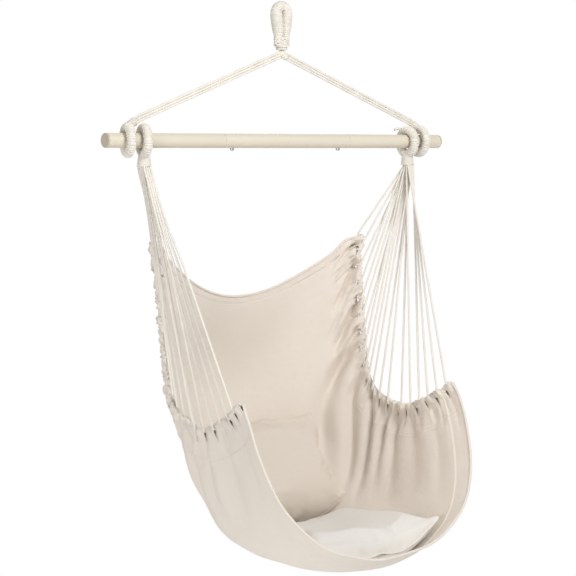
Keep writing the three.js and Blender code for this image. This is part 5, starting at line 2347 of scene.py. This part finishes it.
    def flat_size(self) -> tuple[float, float, float]:
        """The cut's size, measured on the middle surface.

        Returns:
            Its length along the hem, its width across, and its area.
        """
        surface, named = self.sheet()
        a, b, c, d = (surface.points[surface.quads[:, k]] for k in range(4))
        area = 0.5 * (np.linalg.norm(np.cross(b - a, c - a), axis=1)
                      + np.linalg.norm(np.cross(c - a, d - a), axis=1)).sum()
        grid, every = named["grid"], self.measured_every
        width = max(lengths_along(line)[-1] for line in grid[::every])
        length = max(lengths_along(line)[-1] for line in grid.swapaxes(0, 1)[::every])
        return length, width, float(area)

    def hem_rope_path(self, side: float) -> Array:
        """The centre line of a hem rope, which sags a little between the cords.

        Args:
            side: -1 for the left hem, 1 for the right one.

        Returns:
            The path.
        """
        lines = np.linspace(0.0, self.form.hem_length(), self.rope_samples)
        u = self.form.share_at(lines)
        _, across, _ = self.form.frame(u, np.full_like(u, side * self.rope_share))
        return self.form.hem(u, side) - side * across * self.hem_pull(lines)[:, None]

    def build(self) -> dict[str, Array]:
        """Returns:
            The named lines of the cloth.
        """
        surface, named = self.sheet()
        cloth = surface.build("gathered_canvas", CANVAS)
        wall = cloth.modifiers.new("cloth_thickness", "SOLIDIFY")
        wall.thickness = self.thickness
        wall.offset = 0.0
        dress(cloth, Body.SLING, Slot.CANVAS, "sling_fabric")
        length, width, area = self.flat_size()
        log.info("cut of the cloth %.3f by %.3f m, %.3f square metres", length, width, area)
        for word, side in SIDES.items():
            path = self.hem_rope_path(side)
            along = lengths_along(path)
            near_end = (along - along[-1] + self.rope_taper_reach) / self.rope_taper_reach
            radius = self.form.hem_rope_radius * (1.0 - self.rope_taper * ease(near_end))
            roped(carried(path, radius, self.rope_sides, self.rope_lay), f"{word}_core_in_hem",
                  Body.SLING, f"{word}_hem_rope")
        return named


@dataclass(frozen=True)
class Trims:
    """Bindings along the front and the top edge of the cloth, and rows of stitches."""

    cloth: SlingCloth
    binding_radius: float = 0.0030
    binding_lift: float = 0.0016
    binding_step: float = 0.003
    binding_bend: float = 0.012
    binding_sides: int = 12
    stitch_length: float = 0.0034
    stitch_pitch: float = 0.0046
    stitch_radius: float = 0.00045
    stitch_tip: float = 0.35
    stitch_flat: float = 0.55
    stitch_lift: float = 0.3
    stitch_uv: tuple = ((0.0, 0.0), (1.0, 0.0), (1.0, 0.003), (0.0, 0.003))
    band_inset: float = 0.002
    edge_inset: float = 0.005
    same_row: float = 1e-5

    def binding(self, line: Array, inner: Array) -> Surface:
        """A soft rounded binding along an edge, just past it.

        Args:
            line: points of the edge.
            inner: points of the grid's next column, which say which way the edge faces.

        Returns:
            The binding.
        """
        path = line + unit(line - inner) * self.binding_lift
        path = rounded(path, self.binding_step, self.binding_bend)
        return carried(path, self.binding_radius, self.binding_sides)

    def stitches(self, line: Array, normals: Array) -> Surface:
        """Many short threads along a line: each is a flattened bead with eight corners.

        Args:
            line: points of the seam, on the cloth's face.
            normals: unit normal at each point.

        Returns:
            All the threads as one surface.
        """
        along = lengths_along(line)
        count = max(int(along[-1] / self.stitch_pitch), 2)
        at = (np.arange(count) + 0.5) * along[-1] / count
        place = at_lengths(line, along, at)
        up = unit(at_lengths(normals, along, at))
        way = unit(at_lengths(line, along, at + SMALL_STEP) - place)
        side = np.cross(up, way)
        half = 0.5 * self.stitch_length
        flat = self.stitch_flat * half
        r = self.stitch_radius
        tip, raised = self.stitch_tip * r, self.stitch_lift * r
        rings = [(-half, tip, -r), (-flat, r, 0.0), (flat, r, 0.0), (half, tip, -r)]
        corners = []
        for run, wide, lift in rings:
            for a, b in ((-1.0, 0.0), (0.0, 1.0), (1.0, 0.0), (0.0, -1.0)):
                corners.append(place + way * run + side * (a * wide) + up * (b * wide + lift + raised))
        points = np.stack(corners, axis=1)
        one = grid_faces(len(rings), 4, wrap_columns=True)[:, ::-1]
        ends = np.array([[0, 1, 2, 3], [15, 14, 13, 12]])
        one = np.concatenate([one, ends])
        faces = (one[None] + (np.arange(count) * points.shape[1])[:, None, None]).reshape(-1, 4)
        return Surface(points.reshape(-1, 3), faces, np.array([self.stitch_uv] * len(faces)))

    def build(self, named: dict[str, Array]) -> None:
        """Makes both bindings and the stitches of the hems and bands.

        Args:
            named: the cloth's grid of points, and how far down the cloth each of its rows lies.
        """
        grid, down = named["grid"], named["down"]
        over = np.flatnonzero(down == 0.0)
        main = slice(int(over[len(over) // 2 - 1]), int(over[len(over) // 2]) + 1)
        for word, edge, inner in (("front", 0, 1), ("top", -1, -2)):
            piping = self.binding(grid[edge, main], grid[inner, main]).build(f"{word}_binding", CANVAS)
            dress(piping, Body.SLING, Slot.CANVAS, f"{word}_edge_piping")
        outward = unit(np.cross(unit(np.gradient(grid, axis=0)), unit(np.gradient(grid, axis=1))))
        lines = self.cloth.lines()
        front = self.cloth.front_band + self.band_inset
        top = lines[-1] - self.cloth.top_band - self.band_inset
        seams = [(slice(None), j) for at in self.cloth.stitch_rows
                 for j in np.flatnonzero(np.abs(down - at) < self.same_row)]
        seams += [(int(np.abs(lines - h).argmin()), main) for h in (front, top, self.edge_inset)]
        reach = 0.5 * self.cloth.thickness
        threads = [self.stitches(grid[at] + way * reach * outward[at], way * outward[at])
                   for at in seams for way in (-1.0, 1.0)]
        dress(merged(threads).build("seam_stitches", THREAD), Body.SLING, Slot.CANVAS)


# Loose cushions


def places_of(mesh: bpy.types.Mesh) -> Array:
    """Returns a mesh's vertices as rows."""
    places = np.empty(len(mesh.vertices) * 3, np.float32)
    mesh.vertices.foreach_get("co", places)
    return places.reshape(-1, 3)


@dataclass(frozen=True)
class Cushion:
    """A stuffed cushion that lies on the cloth: crowned, drawn in between its corners, and seamed.

    With a and b from -1 to 1 across and along, its fill is sqrt((1 - |a|^p)(1 - |b|^p)). The lower face
    is the cloth's place, raised to the seam where the fill is nought, and the upper face is crowned.
    """

    form: SlingForm
    name: str
    body: Body
    front_share: float
    back_share: float
    middle_share: float
    half_share: float
    thickness: float
    seam: float
    angle: float
    finish: Finish = CUSHION_COTTON
    left_drop_share: float = 0.0
    right_drop_share: float = 0.0
    crown_power: float = 2.7
    edge: float = 0.0018
    draw_share: float = 0.030
    wave_share: float = 0.012
    waves: tuple = (9.0, 10.0, 2.0)
    pucker: float = 0.0042
    pucker_share: float = 0.20
    pucker_slant: float = 0.15
    pucker_turns: tuple = (21.0, 2.6, 5.0, 1.3)
    crumple: float = 0.0032
    crumple_waves: tuple = ((5.2, 2.1, 0.8), (-1.7, 4.1, 0.4), (8.3, -5.9, 0.0))
    crumple_cross: float = 0.6
    rest_gap: float = 0.0030
    steps: int = 72
    even_share: float = 0.65
    slim_share: float = 0.86
    voxel: float = 0.005
    pressure: float = 4.0
    quality: int = 5
    mass: float = 0.25
    frames: int = 20
    cap: float = 0.022
    piping_radius: float = 0.0021
    piping_steps: int = 90
    piping_sides: int = 8
    piping_evened: int = 4

    def face(self) -> Array:
        """Returns the unit direction that the cushion's upper face looks in."""
        turn = math.radians(self.angle)
        return np.array([0.0, -math.cos(turn), math.sin(turn)])

    def faces_of(self, a: Array, b: Array, slim: float) -> tuple[Array, Array]:
        """Lower and upper face at places (a, b), with the crown slimmed by a share.

        Args:
            a: places across, from -1 to 1.
            b: places along, from -1 to 1.
            slim: share of the full thickness.

        Returns:
            Points of the lower face and of the upper one.
        """
        rise, turn, slant = self.waves
        sides, ends = np.sin(rise * b + slant * a), np.sin(turn * a - slant * b)
        across = a * (1.0 - self.draw_share * (1.0 - b * b) + self.wave_share * sides)
        along = b * (1.0 - self.draw_share * (1.0 - a * a) + self.wave_share * ends)
        drop = np.where(a < 0.0, self.left_drop_share, self.right_drop_share) * a * a * (b + 1.0) / 2.0
        u = lerp(self.front_share, self.back_share, (along + 1.0) / 2.0) - drop
        s = self.middle_share + self.half_share * across
        _, _, outward = self.form.frame(u, s)
        rest = self.form.point(u, s)
        lift = self.form.fabric_thickness / 2.0 + self.rest_gap - self.form.slack(rest)
        rest = rest - outward * lift[..., None]
        power = self.crown_power
        fill = (1.0 - np.abs(a) ** power) * (1.0 - np.abs(b) ** power)
        fill = np.sqrt(np.clip(fill, 0.0, 1.0))[..., None]
        face = self.face()
        lower = rest + face * self.seam * (1.0 - fill)
        high = lerp(self.seam + self.edge, self.thickness * slim, fill)
        high = high + self.wrinkles(a, b)[..., None] * np.sqrt(fill)
        return lower, rest + face * high

    def wrinkles(self, a: Array, b: Array) -> Array:
        """Puckers that run in from the seam, and a few broad crumples.

        A pucker is sin^3 of the place along the rim, and dies away by exp(-distance / reach).

        Args:
            a: places across, from -1 to 1.
            b: places along, from -1 to 1.

        Returns:
            Heights of the upper face.
        """
        rim = np.minimum(1.0 - np.abs(a), 1.0 - np.abs(b))
        on_end = np.abs(b) > np.abs(a)
        place = np.where(on_end, a, b) + self.pucker_slant * rim
        rate, wander, slow, start = self.pucker_turns
        puckers = np.sin(rate * place + wander * np.sin(slow * place) + start * on_end) ** 3
        first, second, cross = (np.sin(x * a + y * b + start) for x, y, start in self.crumple_waves)
        broad = first * second + self.crumple_cross * cross
        return self.pucker * puckers * np.exp(-rim / self.pucker_share) + self.crumple * broad

    def shell(self, slim: float) -> Surface:
        """The closed cushion: two grids that share their border.

        Args:
            slim: share of the full thickness.

        Returns:
            The surface, its faces turned outwards.
        """
        even = np.linspace(-0.5, 0.5, self.steps + 1) * np.pi
        straight = np.linspace(-1.0, 1.0, self.steps + 1)
        places = np.sin(even) * (1.0 - self.even_share) + straight * self.even_share
        a, b = np.meshgrid(places, places, indexing="ij")
        lower, upper = self.faces_of(a, b, slim)
        rim = np.zeros(a.shape, bool)
        rim[[0, -1]] = True
        rim[:, [0, -1]] = True
        upper[rim] = 0.5 * (upper[rim] + lower[rim])
        lower[rim] = upper[rim]
        grid = grid_faces(*a.shape)
        under = Surface(lower.reshape(-1, 3), grid)
        return under.joined(Surface(upper.reshape(-1, 3), grid[:, ::-1]))

    def seam_path(self) -> Array:
        """Returns the closed line of the seam, once round the rim."""
        t = np.linspace(-1.0, 1.0, self.piping_steps)[:-1]
        one = np.ones_like(t)
        a = np.concatenate([t, one, -t, -one])
        b = np.concatenate([-one, t, one, -t])
        lower, upper = self.faces_of(a, b, self.slim_share)
        return 0.5 * (lower + upper)

    def inflate(self, made: bpy.types.Object) -> None:
        """Swells the cushion by cloth simulation, with each point's way held short, and applies it.

        Args:
            made: the remeshed cushion.
        """
        scene = bpy.context.scene
        cloth = made.modifiers.new("stuffing", "CLOTH")
        settings = cloth.settings
        settings.use_pressure = True
        settings.uniform_pressure_force = self.pressure
        settings.effector_weights.gravity = 0.0
        settings.quality = self.quality
        settings.mass = self.mass
        cloth.point_cache.frame_start = 1
        cloth.point_cache.frame_end = self.frames
        for frame in range(1, self.frames + 1):
            scene.frame_set(frame)
        graph = bpy.context.evaluated_depsgraph_get()
        before = places_of(made.data).astype(float)
        way = places_of(made.evaluated_get(graph).to_mesh()) - before
        made.evaluated_get(graph).to_mesh_clear()
        made.modifiers.remove(cloth)
        scene.frame_set(1)
        down = np.minimum(way @ self.face(), 0.0)
        way = way - down[:, None] * self.face()
        size = np.linalg.norm(way, axis=1, keepdims=True)
        way *= np.minimum(1.0, self.cap / np.maximum(size, TINY))
        made.data.vertices.foreach_set("co", (before + way).astype(np.float32).ravel())
        made.data.update()

    def mapped(self, made: bpy.types.Object) -> None:
        """Lays a flat UV map over the cushion, square to its face, in metres.

        Args:
            made: the cushion.
        """
        mesh = made.data
        points = places_of(mesh)
        index = np.empty(len(mesh.loops), np.int32)
        mesh.loops.foreach_get("vertex_index", index)
        slope = np.cross(self.face(), (1.0, 0.0, 0.0))
        uv = np.stack([points[index, 0], points[index] @ slope], axis=1)
        layer = mesh.uv_layers.get("UVMap") or mesh.uv_layers.new(name="UVMap")
        layer.data.foreach_set("uv", uv.astype(np.float32).ravel())

    def build(self) -> None:
        made = welded(self.shell(self.slim_share).build(
            f"stuffed_{self.name}", self.finish))
        remesh = made.modifiers.new("even_cloth", "REMESH")
        remesh.mode = "VOXEL"
        remesh.voxel_size = self.voxel
        apply_modifiers(made)
        made.data.materials.clear()
        made.data.materials.append(self.finish.material())
        self.inflate(made)
        soften = made.modifiers.new("soften", "SUBSURF")
        soften.levels = 1
        soften.render_levels = 1
        apply_modifiers(made)
        shade_smooth(made.data)
        self.mapped(made)
        dress(made, self.body, Slot.CUSHION, self.name)
        path = self.on_surface(made, self.seam_path())
        piping = carried(path, self.piping_radius, self.piping_sides, closed=True)
        dress(piping.build(f"{self.name}_seam", self.finish), self.body, Slot.CUSHION)

    def on_surface(self, made: bpy.types.Object, path: Array) -> Array:
        """Moves a closed path to the nearest places on a mesh, and evens it out.

        Args:
            made: the object whose mesh it is.
            path: the path's points.

        Returns:
            The moved path.
        """
        tree = BVHTree.FromPolygons(
            [v.co[:] for v in made.data.vertices], [p.vertices[:] for p in made.data.polygons])
        found = np.array([tree.find_nearest(p)[0][:] for p in path.tolist()])
        for _ in range(self.piping_evened):
            found = 0.5 * found + 0.25 * (np.roll(found, 1, axis=0) + np.roll(found, -1, axis=0))
        return found


def main() -> None:
    """Builds the sub-assemblies in order."""
    Studio().build()
    form = SlingForm()
    loop = HangingEye()
    loop.build()
    SpreaderBar().build()
    lean = math.radians(ROPE_LEAN)
    cords = SeatCords(form)
    for word, side in SIDES.items():
        inset, yaw = ROPE_EYES[word]
        rope_eye = BarEye(
            f"{word}_rope_ring", x=side * (BAR_HALF - inset), yaw=yaw, rise=1.0,
            direction=(-side * math.sin(lean), 0.0, math.cos(lean)),
            collar_start=0.010, collar_end=0.010, collar_length=0.022)
        rope_eye.build(Body.SUSPENSION, f"{word}_rope_eye", f"{word}_rope_collar")
        SuspensionRopes().build(word, side, loop.knot_centre(), loop.knot_radius, rope_eye)
        inset, yaw = SEAT_EYES[word]
        seat_eye = BarEye(
            f"{word}_seat_ring", x=side * (BAR_HALF - inset), yaw=yaw, rise=-1.0,
            direction=(0.0, 0.0, -1.0), collar_start=0.014, collar_end=0.017, collar_length=0.027)
        seat_eye.build(Body.SLING, f"{word}_seat_eye", f"{word}_seat_collar", tailed=side > 0.0)
        cords.build(word, side, seat_eye.face())
    cloth = SlingCloth(form)
    Trims(cloth).build(cloth.build())
    # The seat cushion and its seam wear the lighter copy of the cushion cotton, whose lighter tone is
    # painted light from above.
    Cushion(
        form, "seat_cushion", Body.SEAT_CUSHION, front_share=0.085, back_share=0.45, middle_share=0.03,
        half_share=0.43, thickness=0.084, seam=0.010, angle=88.0, finish=PAINTED_LIGHT_SEAT_COTTON).build()
    Cushion(
        form, "back_cushion", Body.BACK_CUSHION, front_share=0.475, back_share=0.762, middle_share=-0.03,
        half_share=0.52, thickness=0.108, seam=0.038, angle=42.0, left_drop_share=0.055,
        right_drop_share=0.030).build()


if __name__ == "__main__":
    logging.basicConfig(level=logging.INFO, format="%(message)s")
    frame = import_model()
    main()
